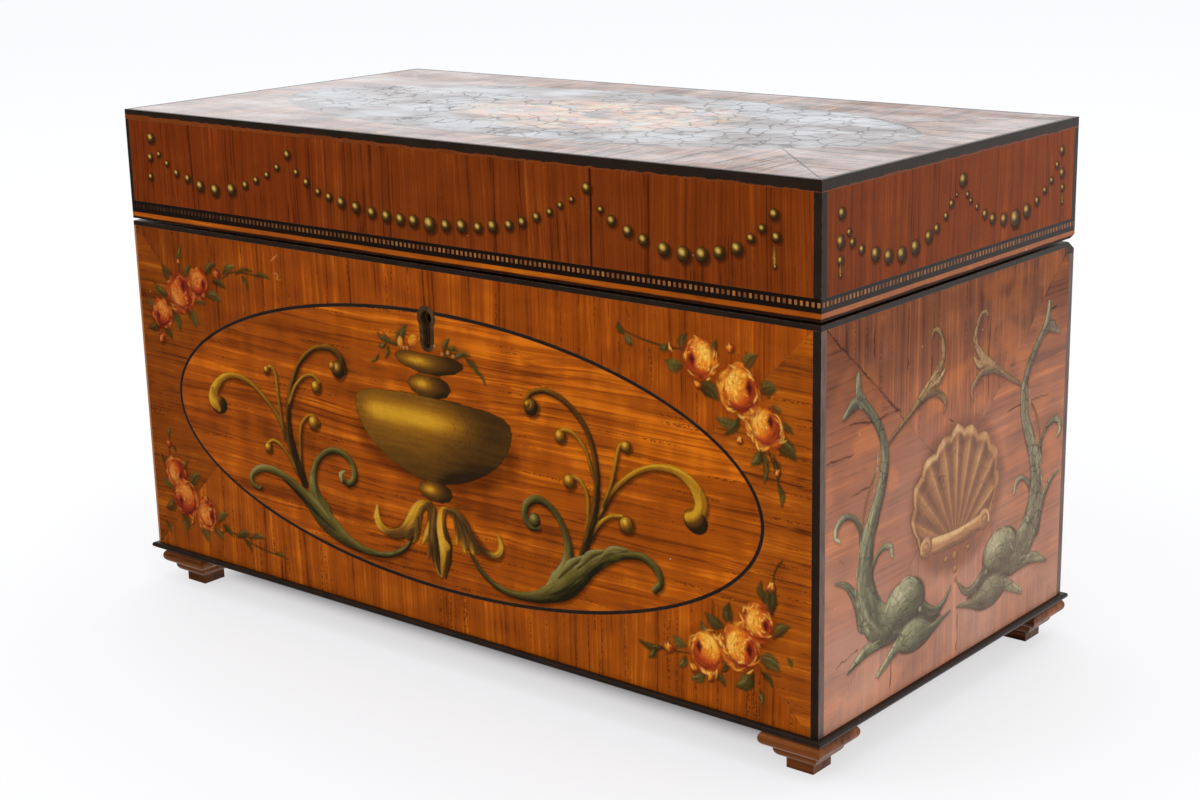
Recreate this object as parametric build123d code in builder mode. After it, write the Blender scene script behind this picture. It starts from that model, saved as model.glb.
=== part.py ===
"""A painted satinwood box with a hinged lid, a box lock and four moulded feet.

Millimetres, +Z up. X runs along the front, the front faces -Y, and the origin lies on the
floor under the middle of the box. The lid turns about the hinge pins at the back, and the
bolt of the lock slides along +X.
"""

from build123d import *
import os
from math import cos, radians, sin

# Overall sizes
box_width = 304.0
box_depth = 152.7
foot_height = 12.7
moulding_height = 2.0
base_height = 125.8
lid_gap = 1.0
lid_height = 40.2

# Carcass boards
wall_thickness = 9.0
bottom_thickness = 8.0
lid_board_thickness = 7.0
lap_lip = 4.0

# Veneers, strings and edgings
veneer = 1.0
corner_string = 2.8
base_left_string = 1.0
lid_left_string = 1.8
rim_edging_height = 1.7
rim_edging_width = 3.0
back_edging_width = 5.0
back_edging_height = 4.4
top_edging_height = 3.5
top_edging_width = 1.5
lower_band_height = 2.4
chequer_height = 4.2
oval_string_width = 1.3
front_oval_half_width = 132.6
front_oval_half_height = 48.6
top_oval_half_width = 133.6
top_oval_half_depth = 57.6

# Bevels along the back edges, which let the lid swing past upright
base_bevel_width = 4.2
base_bevel_drop = 2.8
lid_bevel_width = 3.0
lid_bevel_rise = 1.0

# Base moulding
moulding_overhang = 2.0
moulding_width = 8.0
moulding_round = 0.95

# Feet
foot_size = 22.5
foot_overhang = 1.3
foot_torus_radius = 2.6
foot_step = 3.4
foot_step_height = 0.9
foot_cove_radius = 3.0
front_left_foot_slip = 4.5

# Keyhole escutcheon
keyhole_drop = 17.8
escutcheon_head_radius = 4.1
escutcheon_tail_width = 6.4
escutcheon_tail_reach = 11.4
escutcheon_thickness = 2.2
escutcheon_stand = 0.1
key_head_radius = 2.4
key_slot_width = 3.3
key_slot_reach = 10.2

# Lock
lock_offset = -2.6
lock_length = 60.0
lock_plate_height = 33.0
lock_plate_thickness = 1.2
lock_case_length = 50.0
lock_case_height = 30.0
lock_case_depth = 5.3
lock_cap_thickness = 0.8
lock_fit = 0.1
drill_pin_radius = 1.1
drill_pin_length = 6.8
staple_spacing = 24.0
staple_thickness = 2.0
staple_width = 3.1
staple_length = 8.3
staple_rear_clearance = 0.35
eye_width = 2.0
eye_height = 2.6
eye_drop = 5.4
staple_side_clearance = 0.4
staple_front_clearance = 0.6
bolt_travel = 5.0
bolt_finger_height = 2.0
bolt_finger_thickness = 1.4
bolt_bar_thickness = 3.1
bolt_bar_height = 3.2
bolt_stem_width = 4.0
bolt_tip_gap = 0.8
bolt_root_gap = 0.5
talon_radius = 2.3
bolt_under_staple = 0.6

# Hinges
hinge_end_distance = 57.0
hinge_length = 34.0
hinge_inset = 1.0
knuckle_count = 3
knuckle_radius = 1.9
knuckle_gap = 0.15
pin_radius = 0.9
pin_running_clearance = 0.05
leaf_width = 8.2
leaf_thickness = 1.3
leaf_clearance = 0.1
heel_radius = 3.0
heel_swing_clearance = 0.12
relief_clearance = 0.2
open_angle = 95.0
stop_clearance_angle = 0.8
heel_back_angle = 100.0

# Screws
screw_head_radius = 1.7
screw_head_height = 0.9
screw_countersink = 0.8
screw_shank_radius = 0.85
screw_shank_length = 5.2
screw_slot_width = 0.5
screw_slot_depth = 0.4
screw_sides = 8
hinge_screw_spacing = 11.5
hinge_screw_inset = 5.2
lock_screw_inset = 3.0
link_screw_inset = 6.0

# Linings
lining_board = 0.8
lining_pad = 1.5
lining_drop = 5.0
lid_lining_drop = 3.0
lock_window_margin = 0.5

# Planes and half sizes that the pieces share
half_width = box_width / 2
half_depth = box_depth / 2
body_z = foot_height + moulding_height
rim_z = body_z + base_height
lid_z = rim_z + lid_gap
top_z = lid_z + lid_height
board_x = half_width - veneer
board_y = half_depth - veneer
inner_x = board_x - wall_thickness
inner_y = board_y - wall_thickness
panel_x = half_width - corner_string
panel_y = half_depth - corner_string
panel_top = rim_z - rim_edging_height
floor_z = foot_height + bottom_thickness
lid_ceiling_z = top_z - veneer - lid_board_thickness
lid_panel_z = lid_z + lower_band_height + chequer_height
lid_panel_top = top_z - top_edging_height
keyhole_z = rim_z - keyhole_drop
hinge_y = half_depth - hinge_inset
hinge_z = (rim_z + lid_z) / 2
hinge_xs = (hinge_end_distance - half_width, half_width - hinge_end_distance)
cut_margin = 2.0


def block(low, high, mode=Mode.ADD):
    """A block between two opposite corners, in the part that is being built."""
    centre = [(a + b) / 2 for a, b in zip(low, high)]
    size = [b - a for a, b in zip(low, high)]
    with Locations(tuple(centre)):
        Box(*size, mode=mode)


def group(*pieces):
    """Several pieces of one node, kept as separate solids."""
    return Compound([solid for piece in pieces for solid in piece.solids()])


def corner_prisms(half_x, half_y, size, left_width, bottom, top):
    """The four prisms in the corners of a rectangle, the left pair with a width of its own."""
    prisms = []
    for x_side, width in ((-1, left_width), (1, size)):
        for y_side in (-1, 1):
            with BuildPart() as prism:
                with BuildSketch(Plane.XY.offset(bottom)):
                    with Locations((x_side * (half_x - width / 2), y_side * (half_y - size / 2))):
                        Rectangle(width, size)
                extrude(amount=top - bottom)
            prisms.append(prism.part)
    return prisms


def mitred_outline(side, half_x, half_y, depth):
    """Plan of one strip of a rectangular frame, with both its ends mitred."""
    if side in ("front", "back"):
        sign = -1 if side == "front" else 1
        return [
            (-half_x, sign * half_y),
            (half_x, sign * half_y),
            (half_x - depth, sign * (half_y - depth)),
            (depth - half_x, sign * (half_y - depth)),
        ]
    sign = -1 if side == "left" else 1
    return [
        (sign * half_x, -half_y),
        (sign * half_x, half_y),
        (sign * (half_x - depth), half_y - depth),
        (sign * (half_x - depth), depth - half_y),
    ]


def mitred_strips(half_x, half_y, depth, bottom, height):
    """Four flat strips round a rectangle: front, back, left and right."""
    strips = {}
    for side in ("front", "back", "left", "right"):
        with BuildPart() as strip:
            with BuildSketch(Plane.XY.offset(bottom)):
                Polygon(mitred_outline(side, half_x, half_y, depth))
            extrude(amount=height)
        strips[side] = strip.part
    return strips


def oval_bands(plane, left, right, half_y, oval_x, oval_y, cut=None):
    """The four crossbandings round an oval, mitred from the corners of the panel."""
    outlines = {
        "top": [(left, half_y), (right, half_y), (right - half_y, 0), (left + half_y, 0)],
        "bottom": [(left, -half_y), (right, -half_y), (right - half_y, 0), (left + half_y, 0)],
        "left": [(left, half_y), (left, -half_y), (left + half_y, 0)],
        "right": [(right, half_y), (right, -half_y), (right - half_y, 0)],
    }
    bands = {}
    for name, outline in outlines.items():
        with BuildPart() as band:
            with BuildSketch(plane):
                Polygon(outline)
                Ellipse(oval_x, oval_y, mode=Mode.SUBTRACT)
            extrude(amount=veneer)
            if cut is not None:
                add(cut, mode=Mode.SUBTRACT)
        bands[name] = band.part
    return bands


def oval_string(plane, oval_x, oval_y, cut=None):
    """The string let in round an oval."""
    with BuildPart() as string:
        with BuildSketch(plane):
            Ellipse(oval_x, oval_y)
            Ellipse(oval_x - oval_string_width, oval_y - oval_string_width, mode=Mode.SUBTRACT)
        extrude(amount=veneer)
        if cut is not None:
            add(cut, mode=Mode.SUBTRACT)
    return string.part


def oval_panel(plane, oval_x, oval_y, cut=None):
    """The veneer inside an oval string."""
    with BuildPart() as panel:
        with BuildSketch(plane):
            Ellipse(oval_x - oval_string_width, oval_y - oval_string_width)
        extrude(amount=veneer)
        if cut is not None:
            add(cut, mode=Mode.SUBTRACT)
    return panel.part


def keyhole(head_radius, tail_width, tail_reach):
    """A keyhole's outline about the key's axis, in the sketch that is being drawn."""
    Circle(head_radius)
    tail_length = tail_reach + tail_width / 2
    with Locations((0, tail_width / 2 - tail_length / 2)):
        SlotOverall(tail_length, tail_width, rotation=90)


# Screws
# The blank is the screw without its slot, and cuts the countersink and the hole. So small a
# thing is drawn with few sides.
with BuildPart() as screw_blank:
    with BuildSketch():
        RegularPolygon(screw_head_radius, screw_sides)
    extrude(amount=-screw_head_height)
    chamfer(screw_blank.faces().sort_by(Axis.Z)[0].edges(), screw_countersink)
    with BuildSketch(Plane.XY.offset(-screw_head_height)):
        RegularPolygon(screw_shank_radius, screw_sides)
    extrude(amount=-screw_shank_length)

with BuildPart() as screw:
    add(screw_blank.part)
    block(
        (-screw_head_radius, -screw_slot_width / 2, -screw_slot_depth),
        (screw_head_radius, screw_slot_width / 2, screw_slot_depth),
        mode=Mode.SUBTRACT,
    )


def screws_at(places):
    """Screws for a list of places, as separate solids."""
    return group(*[screw.part.moved(place) for place in places])


def screw_holes(places):
    """The blanks that cut the holes for a list of screws."""
    return [screw_blank.part.moved(place) for place in places]


# Where every screw goes
# A screw points down as drawn. One in the lid is turned over, and one through the back
# plate of the lock points to the front.
screw_up = (180, 0, 0)
screw_forward = (-90, 0, 0)
leaf_screw_y = hinge_y - hinge_screw_inset
leaf_screw_xs = [
    centre + step * hinge_screw_spacing for centre in hinge_xs for step in (-1, 0, 1)
]
base_leaf_top = hinge_z - leaf_clearance
lid_leaf_underside = hinge_z + leaf_clearance
base_hinge_places = [Location((x, leaf_screw_y, base_leaf_top)) for x in leaf_screw_xs]
lid_hinge_places = [Location((x, leaf_screw_y, lid_leaf_underside), screw_up) for x in leaf_screw_xs]
lock_front = rim_edging_width - half_depth
lock_back = -inner_y
selvedge_y = (lock_front + lock_back) / 2
lock_left = lock_offset - lock_length / 2
lock_right = lock_offset + lock_length / 2
lock_screw_xs = (lock_left + lock_screw_inset, lock_right - lock_screw_inset)
link_screw_xs = (lock_left + link_screw_inset, lock_right - link_screw_inset)
plate_screw_z = rim_z - lock_plate_height + lock_screw_inset
selvedge_places = [Location((x, selvedge_y, rim_z)) for x in lock_screw_xs]
plate_places = [Location((x, lock_back, plate_screw_z), screw_forward) for x in lock_screw_xs]
link_places = [Location((x, selvedge_y, lid_z), screw_up) for x in link_screw_xs]

# Bevels cut along the back edges of the base and the lid
bevel_overrun = cut_margin / base_bevel_width
with BuildPart() as base_bevel:
    with BuildSketch(Plane.YZ.offset(-half_width - cut_margin)):
        Polygon(
            (half_depth - base_bevel_width, rim_z),
            (half_depth + cut_margin, rim_z - base_bevel_drop * (1 + bevel_overrun)),
            (half_depth + cut_margin, rim_z + cut_margin),
            (half_depth - base_bevel_width, rim_z + cut_margin),
        )
    extrude(amount=box_width + 2 * cut_margin)

lid_overrun = cut_margin / lid_bevel_width
with BuildPart() as lid_bevel:
    with BuildSketch(Plane.YZ.offset(-half_width - cut_margin)):
        Polygon(
            (half_depth - lid_bevel_width, lid_z),
            (half_depth + cut_margin, lid_z + lid_bevel_rise * (1 + lid_overrun)),
            (half_depth + cut_margin, lid_z - cut_margin),
            (half_depth - lid_bevel_width, lid_z - cut_margin),
        )
    extrude(amount=box_width + 2 * cut_margin)

# Room for the hinges: a shallow recess for each leaf and a round channel for the knuckles
relief_length = hinge_length + 2 * relief_clearance
relief_radius = heel_radius + relief_clearance
with BuildPart() as base_relief:
    for centre in hinge_xs:
        block(
            (centre - hinge_length / 2, hinge_y - leaf_width, base_leaf_top - leaf_thickness),
            (centre + hinge_length / 2, hinge_y, rim_z + cut_margin),
        )
        with Locations((centre, hinge_y, hinge_z)):
            Cylinder(relief_radius, relief_length, rotation=(0, 90, 0))

with BuildPart() as lid_relief:
    for centre in hinge_xs:
        block(
            (centre - hinge_length / 2, hinge_y - leaf_width, lid_z - cut_margin),
            (centre + hinge_length / 2, hinge_y, lid_leaf_underside + leaf_thickness),
        )
        with Locations((centre, hinge_y, hinge_z)):
            Cylinder(relief_radius, relief_length, rotation=(0, 90, 0))

# The keyhole
# The inlay's bed takes the brass, and the key's way runs from it into the lock's mortise.
with BuildPart() as escutcheon_bed:
    with BuildSketch(Plane.XZ.offset(half_depth - escutcheon_thickness)):
        with Locations((lock_offset, keyhole_z)):
            keyhole(escutcheon_head_radius, escutcheon_tail_width, escutcheon_tail_reach)
    extrude(amount=escutcheon_thickness + cut_margin)

with BuildPart() as key_way:
    with BuildSketch(Plane.XZ.offset(inner_y)):
        with Locations((lock_offset, keyhole_z)):
            keyhole(key_head_radius, key_slot_width, key_slot_reach)
    extrude(amount=wall_thickness + veneer + cut_margin)

with BuildPart() as keyhole_escutcheon:
    with BuildSketch(Plane.XZ.offset(half_depth - escutcheon_thickness)):
        with Locations((lock_offset, keyhole_z)):
            keyhole(escutcheon_head_radius, escutcheon_tail_width, escutcheon_tail_reach)
    extrude(amount=escutcheon_thickness + escutcheon_stand)
    add(key_way.part, mode=Mode.SUBTRACT)

# The bed of the lock in the front board
case_back = lock_back - lock_plate_thickness
case_front = case_back - lock_case_depth
case_top = rim_z - lock_plate_thickness
case_bottom = case_top - lock_case_height
case_left = lock_offset - lock_case_length / 2
case_right = lock_offset + lock_case_length / 2
with BuildPart() as lock_bed:
    block(
        (lock_left, lock_front, case_top),
        (lock_right, lock_back + cut_margin, rim_z + cut_margin),
    )
    block(
        (lock_left, case_back, rim_z - lock_plate_height),
        (lock_right, lock_back + cut_margin, rim_z),
    )
    block(
        (case_left - lock_fit, case_front - lock_fit, case_bottom - lock_fit),
        (case_right + lock_fit, lock_back, rim_z),
    )

# Carcass of the base
# The corner strings, the rim edging and the lapped ends of the side boards are let in.
string_cuts = corner_prisms(
    half_width, half_depth, corner_string, base_left_string, body_z, panel_top
)
rim_rebate = rim_edging_width - veneer
back_edging_z = rim_z - back_edging_height
back_edging_y = half_depth - back_edging_width

with BuildPart() as front_board:
    with BuildSketch(Plane.XY.offset(body_z)):
        with Locations((0, -board_y)):
            Rectangle(2 * board_x, wall_thickness, align=(Align.CENTER, Align.MIN))
        with Locations((-board_x, -inner_y), (board_x, -inner_y)):
            Rectangle(2 * wall_thickness, 2 * (wall_thickness - lap_lip), mode=Mode.SUBTRACT)
    extrude(amount=base_height)
    block(
        (-half_width, -half_depth, panel_top),
        (half_width, rim_rebate - board_y, rim_z + cut_margin),
        mode=Mode.SUBTRACT,
    )
    for side in (-1, 1):
        edge = side * (half_width - rim_edging_width)
        block(
            (min(edge, 2 * edge), -half_depth, panel_top),
            (max(edge, 2 * edge), -inner_y + cut_margin, rim_z + cut_margin),
            mode=Mode.SUBTRACT,
        )
    add(string_cuts, mode=Mode.SUBTRACT)
    add(lock_bed.part, mode=Mode.SUBTRACT)
    add(escutcheon_bed.part, mode=Mode.SUBTRACT)
    add(key_way.part, mode=Mode.SUBTRACT)
    add(screw_holes(selvedge_places + plate_places), mode=Mode.SUBTRACT)

with BuildPart() as back_board:
    with BuildSketch(Plane.XY.offset(body_z)):
        with Locations((0, board_y)):
            Rectangle(2 * board_x, wall_thickness, align=(Align.CENTER, Align.MAX))
        with Locations((-board_x, inner_y), (board_x, inner_y)):
            Rectangle(2 * wall_thickness, 2 * (wall_thickness - lap_lip), mode=Mode.SUBTRACT)
    extrude(amount=base_height)
    block(
        (-half_width, back_edging_y, back_edging_z),
        (half_width, half_depth, rim_z + cut_margin),
        mode=Mode.SUBTRACT,
    )
    for side in (-1, 1):
        edge = side * (half_width - rim_edging_width)
        block(
            (min(edge, 2 * edge), inner_y - cut_margin, panel_top),
            (max(edge, 2 * edge), half_depth, rim_z + cut_margin),
            mode=Mode.SUBTRACT,
        )
    add(string_cuts, mode=Mode.SUBTRACT)
    add(base_bevel.part, mode=Mode.SUBTRACT)
    add(base_relief.part, mode=Mode.SUBTRACT)
    add(screw_holes(base_hinge_places), mode=Mode.SUBTRACT)

# The side boards run into the laps of the front and back boards.
side_reach = board_y - lap_lip
side_boards = {}
for name, side in (("left", -1), ("right", 1)):
    with BuildPart() as side_board:
        block(
            (min(side * inner_x, side * board_x), -side_reach, body_z),
            (max(side * inner_x, side * board_x), side_reach, rim_z),
        )
        edge = side * (half_width - rim_edging_width)
        block(
            (min(edge, 2 * edge), -half_depth, panel_top),
            (max(edge, 2 * edge), half_depth, rim_z + cut_margin),
            mode=Mode.SUBTRACT,
        )
        block(
            (-half_width, back_edging_y, back_edging_z),
            (half_width, half_depth, rim_z + cut_margin),
            mode=Mode.SUBTRACT,
        )
        add(string_cuts, mode=Mode.SUBTRACT)
    side_boards[name] = side_board.part

# The bottom board fits between the walls, and its flange fills the frame of mouldings.
flange_x = half_width + moulding_overhang - moulding_width
flange_y = half_depth + moulding_overhang - moulding_width
with BuildPart() as bottom_board:
    block((-flange_x, -flange_y, foot_height), (flange_x, flange_y, body_z))
    block((-inner_x, -inner_y, body_z), (inner_x, inner_y, floor_z))

# Base moulding, rounded along its outer edges
moulding_x = half_width + moulding_overhang
moulding_y = half_depth + moulding_overhang
mouldings = []
for side in ("front", "back", "left", "right"):
    with BuildPart() as moulding:
        with BuildSketch(Plane.XY.offset(foot_height)):
            Polygon(mitred_outline(side, moulding_x, moulding_y, moulding_width))
        extrude(amount=moulding_height)
        if side in ("front", "back"):
            ends = moulding.edges().filter_by(Axis.X).group_by(Axis.Y)
        else:
            ends = moulding.edges().filter_by(Axis.Y).group_by(Axis.X)
        fillet(ends[0] if side in ("front", "left") else ends[-1], moulding_round)
    mouldings.append(moulding.part)
base_moulding = group(*mouldings)

# Feet
# A square plate with a half-round edge, a step, a cove and a small square pad. The same
# elevation is cut both ways, which mitres the moulding at the corners.
foot_half = foot_size / 2
torus_bottom = foot_height - 2 * foot_torus_radius
step_bottom = torus_bottom - foot_step_height
pad_half = foot_half - foot_step - foot_cove_radius
pad_height = step_bottom - foot_cove_radius


foot_sections = ((Plane.XZ, Mode.ADD), (Plane.YZ, Mode.INTERSECT))
with BuildPart() as foot:
    for plane, mode in foot_sections:
        with BuildSketch(plane):
            with BuildLine():
                torus = ThreePointArc(
                    (foot_half - foot_torus_radius, foot_height),
                    (foot_half, foot_height - foot_torus_radius),
                    (foot_half - foot_torus_radius, torus_bottom),
                )
                step = Polyline(
                    torus @ 1,
                    (foot_half - foot_step, torus_bottom),
                    (foot_half - foot_step, step_bottom),
                )
                cove = RadiusArc(step @ 1, (pad_half, pad_height), foot_cove_radius)
                Polyline(cove @ 1, (pad_half, 0), (0, 0))
                Line((0, foot_height), torus @ 0)
                mirror(about=Plane.YZ)
            make_face()
        extrude(amount=foot_half, both=True, mode=mode)

foot_x = half_width + foot_overhang - foot_half
foot_y = half_depth + foot_overhang - foot_half
feet = {
    "front_left_foot": foot.part.moved(Location((front_left_foot_slip - foot_x, -foot_y, 0))),
    "front_right_foot": foot.part.moved(Location((foot_x, -foot_y, 0))),
    "back_left_foot": foot.part.moved(Location((-foot_x, foot_y, 0))),
    "back_right_foot": foot.part.moved(Location((foot_x, foot_y, 0))),
}

# Veneers of the base front
front_panel_half_height = (panel_top - body_z) / 2
front_panel_z = (panel_top + body_z) / 2
front_plane = Plane.XZ.offset(board_y).shift_origin((0, -board_y, front_panel_z))
front_bands = oval_bands(
    front_plane,
    base_left_string - half_width,
    panel_x,
    front_panel_half_height,
    front_oval_half_width,
    front_oval_half_height,
    escutcheon_bed.part,
)
front_oval_string = oval_string(
    front_plane, front_oval_half_width, front_oval_half_height, escutcheon_bed.part
)
front_oval_panel = oval_panel(
    front_plane, front_oval_half_width, front_oval_half_height, escutcheon_bed.part
)

# Veneers of the base sides, four quarters that meet on the diagonals
back_edging_room = Location((0, half_depth, rim_z))
side_quarters = {}
for name, side in (("left", -1), ("right", 1)):
    quarters = []
    quarter_plane = Plane.YZ.offset(board_x if side > 0 else -half_width)
    corners = [
        (-panel_y, body_z),
        (panel_y, body_z),
        (panel_y, panel_top),
        (-panel_y, panel_top),
    ]
    for index in range(4):
        with BuildPart() as quarter:
            with BuildSketch(quarter_plane):
                Polygon(corners[index], corners[(index + 1) % 4], (0, front_panel_z))
                with Locations((back_edging_y, back_edging_z)):
                    Rectangle(
                        2 * back_edging_width,
                        2 * back_edging_height,
                        align=(Align.MIN, Align.MIN),
                        mode=Mode.SUBTRACT,
                    )
            extrude(amount=veneer)
        quarters.append(quarter.part)
    side_quarters[name] = group(*quarters)

with BuildPart() as back_veneer:
    block(
        (base_left_string - half_width, board_y, body_z),
        (panel_x, half_depth, back_edging_z),
    )
    add(base_relief.part, mode=Mode.SUBTRACT)

# Corner strings of the base, the back pair cut short under the back edging
string_parts = []
for string in string_cuts:
    with BuildPart() as corner:
        add(string)
        block(
            (-half_width, back_edging_y, back_edging_z),
            (half_width, half_depth, rim_z),
            mode=Mode.SUBTRACT,
        )
    string_parts.append(corner.part)
base_corner_strings = group(*string_parts)

# Rim edging
# Three flat strips and a deeper one at the back that carries the bevel. The side strips
# butt against the back one.
rim_strips = mitred_strips(
    half_width, half_depth, rim_edging_width, panel_top, rim_edging_height
)
rim_parts = [rim_strips["front"]]
for side in ("left", "right"):
    with BuildPart() as side_edging:
        add(rim_strips[side])
        block(
            (-half_width, back_edging_y, panel_top),
            (half_width, half_depth, rim_z),
            mode=Mode.SUBTRACT,
        )
    rim_parts.append(side_edging.part)
with BuildPart() as back_edging:
    block((-half_width, back_edging_y, back_edging_z), (half_width, half_depth, rim_z))
    add(base_bevel.part, mode=Mode.SUBTRACT)
    add(base_relief.part, mode=Mode.SUBTRACT)
    add(screw_holes(base_hinge_places), mode=Mode.SUBTRACT)
rim_parts.append(back_edging.part)
rim_edging = group(*rim_parts)

# Lining of the base: a floor pad and four wall panels, the front one cut round the lock
lining_top = rim_z - lining_drop
lining_floor = floor_z + lining_pad
with BuildPart() as base_floor_lining:
    block((-inner_x, -inner_y, floor_z), (inner_x, inner_y, lining_floor))
window_z = rim_z - lock_plate_height - lock_window_margin
with BuildPart() as front_lining:
    block((-inner_x, -inner_y, lining_floor), (inner_x, lining_board - inner_y, lining_top))
    block(
        (lock_left - lock_window_margin, -inner_y - cut_margin, window_z),
        (lock_right + lock_window_margin, cut_margin - inner_y, rim_z),
        mode=Mode.SUBTRACT,
    )
with BuildPart() as back_lining:
    block((-inner_x, inner_y - lining_board, lining_floor), (inner_x, inner_y, lining_top))
lining_y = inner_y - lining_board
with BuildPart() as left_lining:
    block((-inner_x, -lining_y, lining_floor), (lining_board - inner_x, lining_y, lining_top))
with BuildPart() as right_lining:
    block((inner_x - lining_board, -lining_y, lining_floor), (inner_x, lining_y, lining_top))
base_wall_linings = group(front_lining.part, back_lining.part, left_lining.part, right_lining.part)

# Lock
# One bent brass plate makes the selvedge on the rim and the back plate inside the box.
staple_xs = (lock_offset - staple_spacing / 2, lock_offset + staple_spacing / 2)
staple_front = case_back - staple_rear_clearance - staple_width
staple_centre_y = staple_front + staple_width / 2
with BuildPart() as lock_plate:
    with BuildSketch(Plane.YZ.offset(lock_left)):
        Polygon(
            (lock_front, rim_z),
            (lock_back, rim_z),
            (lock_back, rim_z - lock_plate_height),
            (case_back, rim_z - lock_plate_height),
            (case_back, case_top),
            (lock_front, case_top),
        )
    extrude(amount=lock_length)
    for x in staple_xs:
        block(
            (
                x - staple_thickness / 2 - staple_side_clearance,
                staple_front - staple_front_clearance,
                case_top - cut_margin,
            ),
            (x + staple_thickness / 2 + staple_side_clearance, case_back, rim_z + cut_margin),
            mode=Mode.SUBTRACT,
        )
    with Locations((lock_offset, lock_back, keyhole_z)):
        Cylinder(drill_pin_radius, 4 * lock_plate_thickness, rotation=(90, 0, 0), mode=Mode.SUBTRACT)
    add(screw_holes(selvedge_places + plate_places), mode=Mode.SUBTRACT)

with BuildPart() as lock_cap:
    block(
        (case_left, case_front, case_bottom),
        (case_right, case_front + lock_cap_thickness, case_top - lock_fit),
    )
    for side, outer in ((-1, case_left), (1, case_right)):
        inner = outer - side * lock_cap_thickness
        block(
            (min(outer, inner), case_front, case_bottom),
            (max(outer, inner), case_back, case_top - lock_fit),
        )
    add(key_way.part, mode=Mode.SUBTRACT)

with BuildPart() as drill_pin:
    with BuildSketch(Plane.XZ.offset(-lock_back)):
        with Locations((lock_offset, keyhole_z)):
            Circle(drill_pin_radius)
    extrude(amount=drill_pin_length)

# Bolt of the lock, drawn back
eye_z = lid_z - eye_drop
bar_top = lid_z - staple_length - bolt_under_staple
bar_bottom = bar_top - bolt_bar_height
finger_half = bolt_finger_height / 2
bar_left = staple_xs[0] - staple_thickness / 2 - bolt_root_gap - bolt_travel - bolt_stem_width
bar_right = staple_xs[1] - staple_thickness / 2 - bolt_root_gap - bolt_travel
with BuildPart() as lock_bolt:
    with BuildSketch(Plane.XZ.offset(-staple_centre_y - bolt_bar_thickness / 2)):
        with Locations((bar_left, bar_bottom)):
            Rectangle(bar_right - bar_left, bolt_bar_height, align=(Align.MIN, Align.MIN))
        for x in staple_xs:
            stem_right = x - staple_thickness / 2 - bolt_root_gap - bolt_travel
            with Locations((stem_right, bar_bottom)):
                Rectangle(
                    bolt_stem_width,
                    eye_z + finger_half - bar_bottom,
                    align=(Align.MAX, Align.MIN),
                )
        with Locations((bar_right / 2 + bar_left / 2, bar_bottom)):
            Circle(talon_radius, mode=Mode.SUBTRACT)
    extrude(amount=bolt_bar_thickness)
    with BuildSketch(Plane.XZ.offset(-staple_centre_y - bolt_finger_thickness / 2)):
        for x in staple_xs:
            stem_right = x - staple_thickness / 2 - bolt_root_gap - bolt_travel
            tip = x - staple_thickness / 2 - bolt_tip_gap
            with Locations((stem_right - bolt_stem_width / 2, eye_z)):
                Rectangle(
                    tip - stem_right + bolt_stem_width / 2,
                    bolt_finger_height,
                    align=(Align.MIN, Align.CENTER),
                )
    extrude(amount=bolt_finger_thickness)

# Link plate in the lid, with the two staples that the bolt passes through
with BuildPart() as lock_link_plate:
    block(
        (lock_left, lock_front, lid_z),
        (lock_right, lock_back, lid_z + lock_plate_thickness),
    )
    for x in staple_xs:
        with BuildSketch(Plane.YZ.offset(x - staple_thickness / 2)):
            with Locations((staple_centre_y, lid_z)):
                Rectangle(staple_width, staple_length, align=(Align.CENTER, Align.MAX))
            with Locations((staple_centre_y, eye_z)):
                Rectangle(eye_width, eye_height, mode=Mode.SUBTRACT)
        extrude(amount=staple_thickness)
        tips = lock_link_plate.edges().filter_by(Axis.X).group_by(Axis.Z)[0]
    fillet(tips, staple_width / 4)
    add(screw_holes(link_places), mode=Mode.SUBTRACT)

# Hinges
# Three knuckles each: the base leaf has the outer two. Outside the knuckles each leaf carries
# a heel as long as the hinge, and the two heels meet when the lid stands open.
knuckle_pitch = hinge_length / knuckle_count
heel_angle = open_angle / 2 + stop_clearance_angle / 2


def knuckle_centre(centre_x, index):
    """Middle of one knuckle along the hinge."""
    return centre_x - hinge_length / 2 + (index + 0.5) * knuckle_pitch


def hinge_leaf(centre_x, side, places):
    """One leaf with its knuckles and heel: side is -1 in the base and +1 in the lid."""
    near = hinge_z + side * leaf_clearance
    far = near + side * leaf_thickness
    start = Plane.YZ.offset(centre_x - hinge_length / 2)
    hole_radius = pin_radius if side < 0 else pin_radius + pin_running_clearance
    wedge = 2 * heel_radius
    with BuildPart() as leaf:
        block(
            (centre_x - hinge_length / 2, hinge_y - leaf_width, min(near, far)),
            (centre_x + hinge_length / 2, hinge_y, max(near, far)),
        )
        with BuildSketch(start):
            with Locations((hinge_y, hinge_z)):
                Circle(knuckle_radius)
        extrude(amount=hinge_length)
        with BuildSketch(start):
            with Locations((hinge_y, hinge_z)):
                Circle(heel_radius)
                Polygon(
                    (0, 0),
                    (wedge * cos(radians(heel_angle)), side * wedge * sin(radians(heel_angle))),
                    (wedge * cos(radians(heel_back_angle)), side * wedge * sin(radians(heel_back_angle))),
                    mode=Mode.INTERSECT,
                )
        extrude(amount=hinge_length)
        for index in range(knuckle_count):
            is_base_knuckle = index % 2 == 0
            if is_base_knuckle != (side < 0):
                with Locations((knuckle_centre(centre_x, index), hinge_y, hinge_z)):
                    Cylinder(
                        knuckle_radius + heel_swing_clearance,
                        knuckle_pitch + knuckle_gap,
                        rotation=(0, 90, 0),
                        mode=Mode.SUBTRACT,
                    )
        with Locations((centre_x, hinge_y, hinge_z)):
            Cylinder(hole_radius, 2 * hinge_length, rotation=(0, 90, 0), mode=Mode.SUBTRACT)
        add(screw_holes(places), mode=Mode.SUBTRACT)
    return leaf.part


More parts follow.
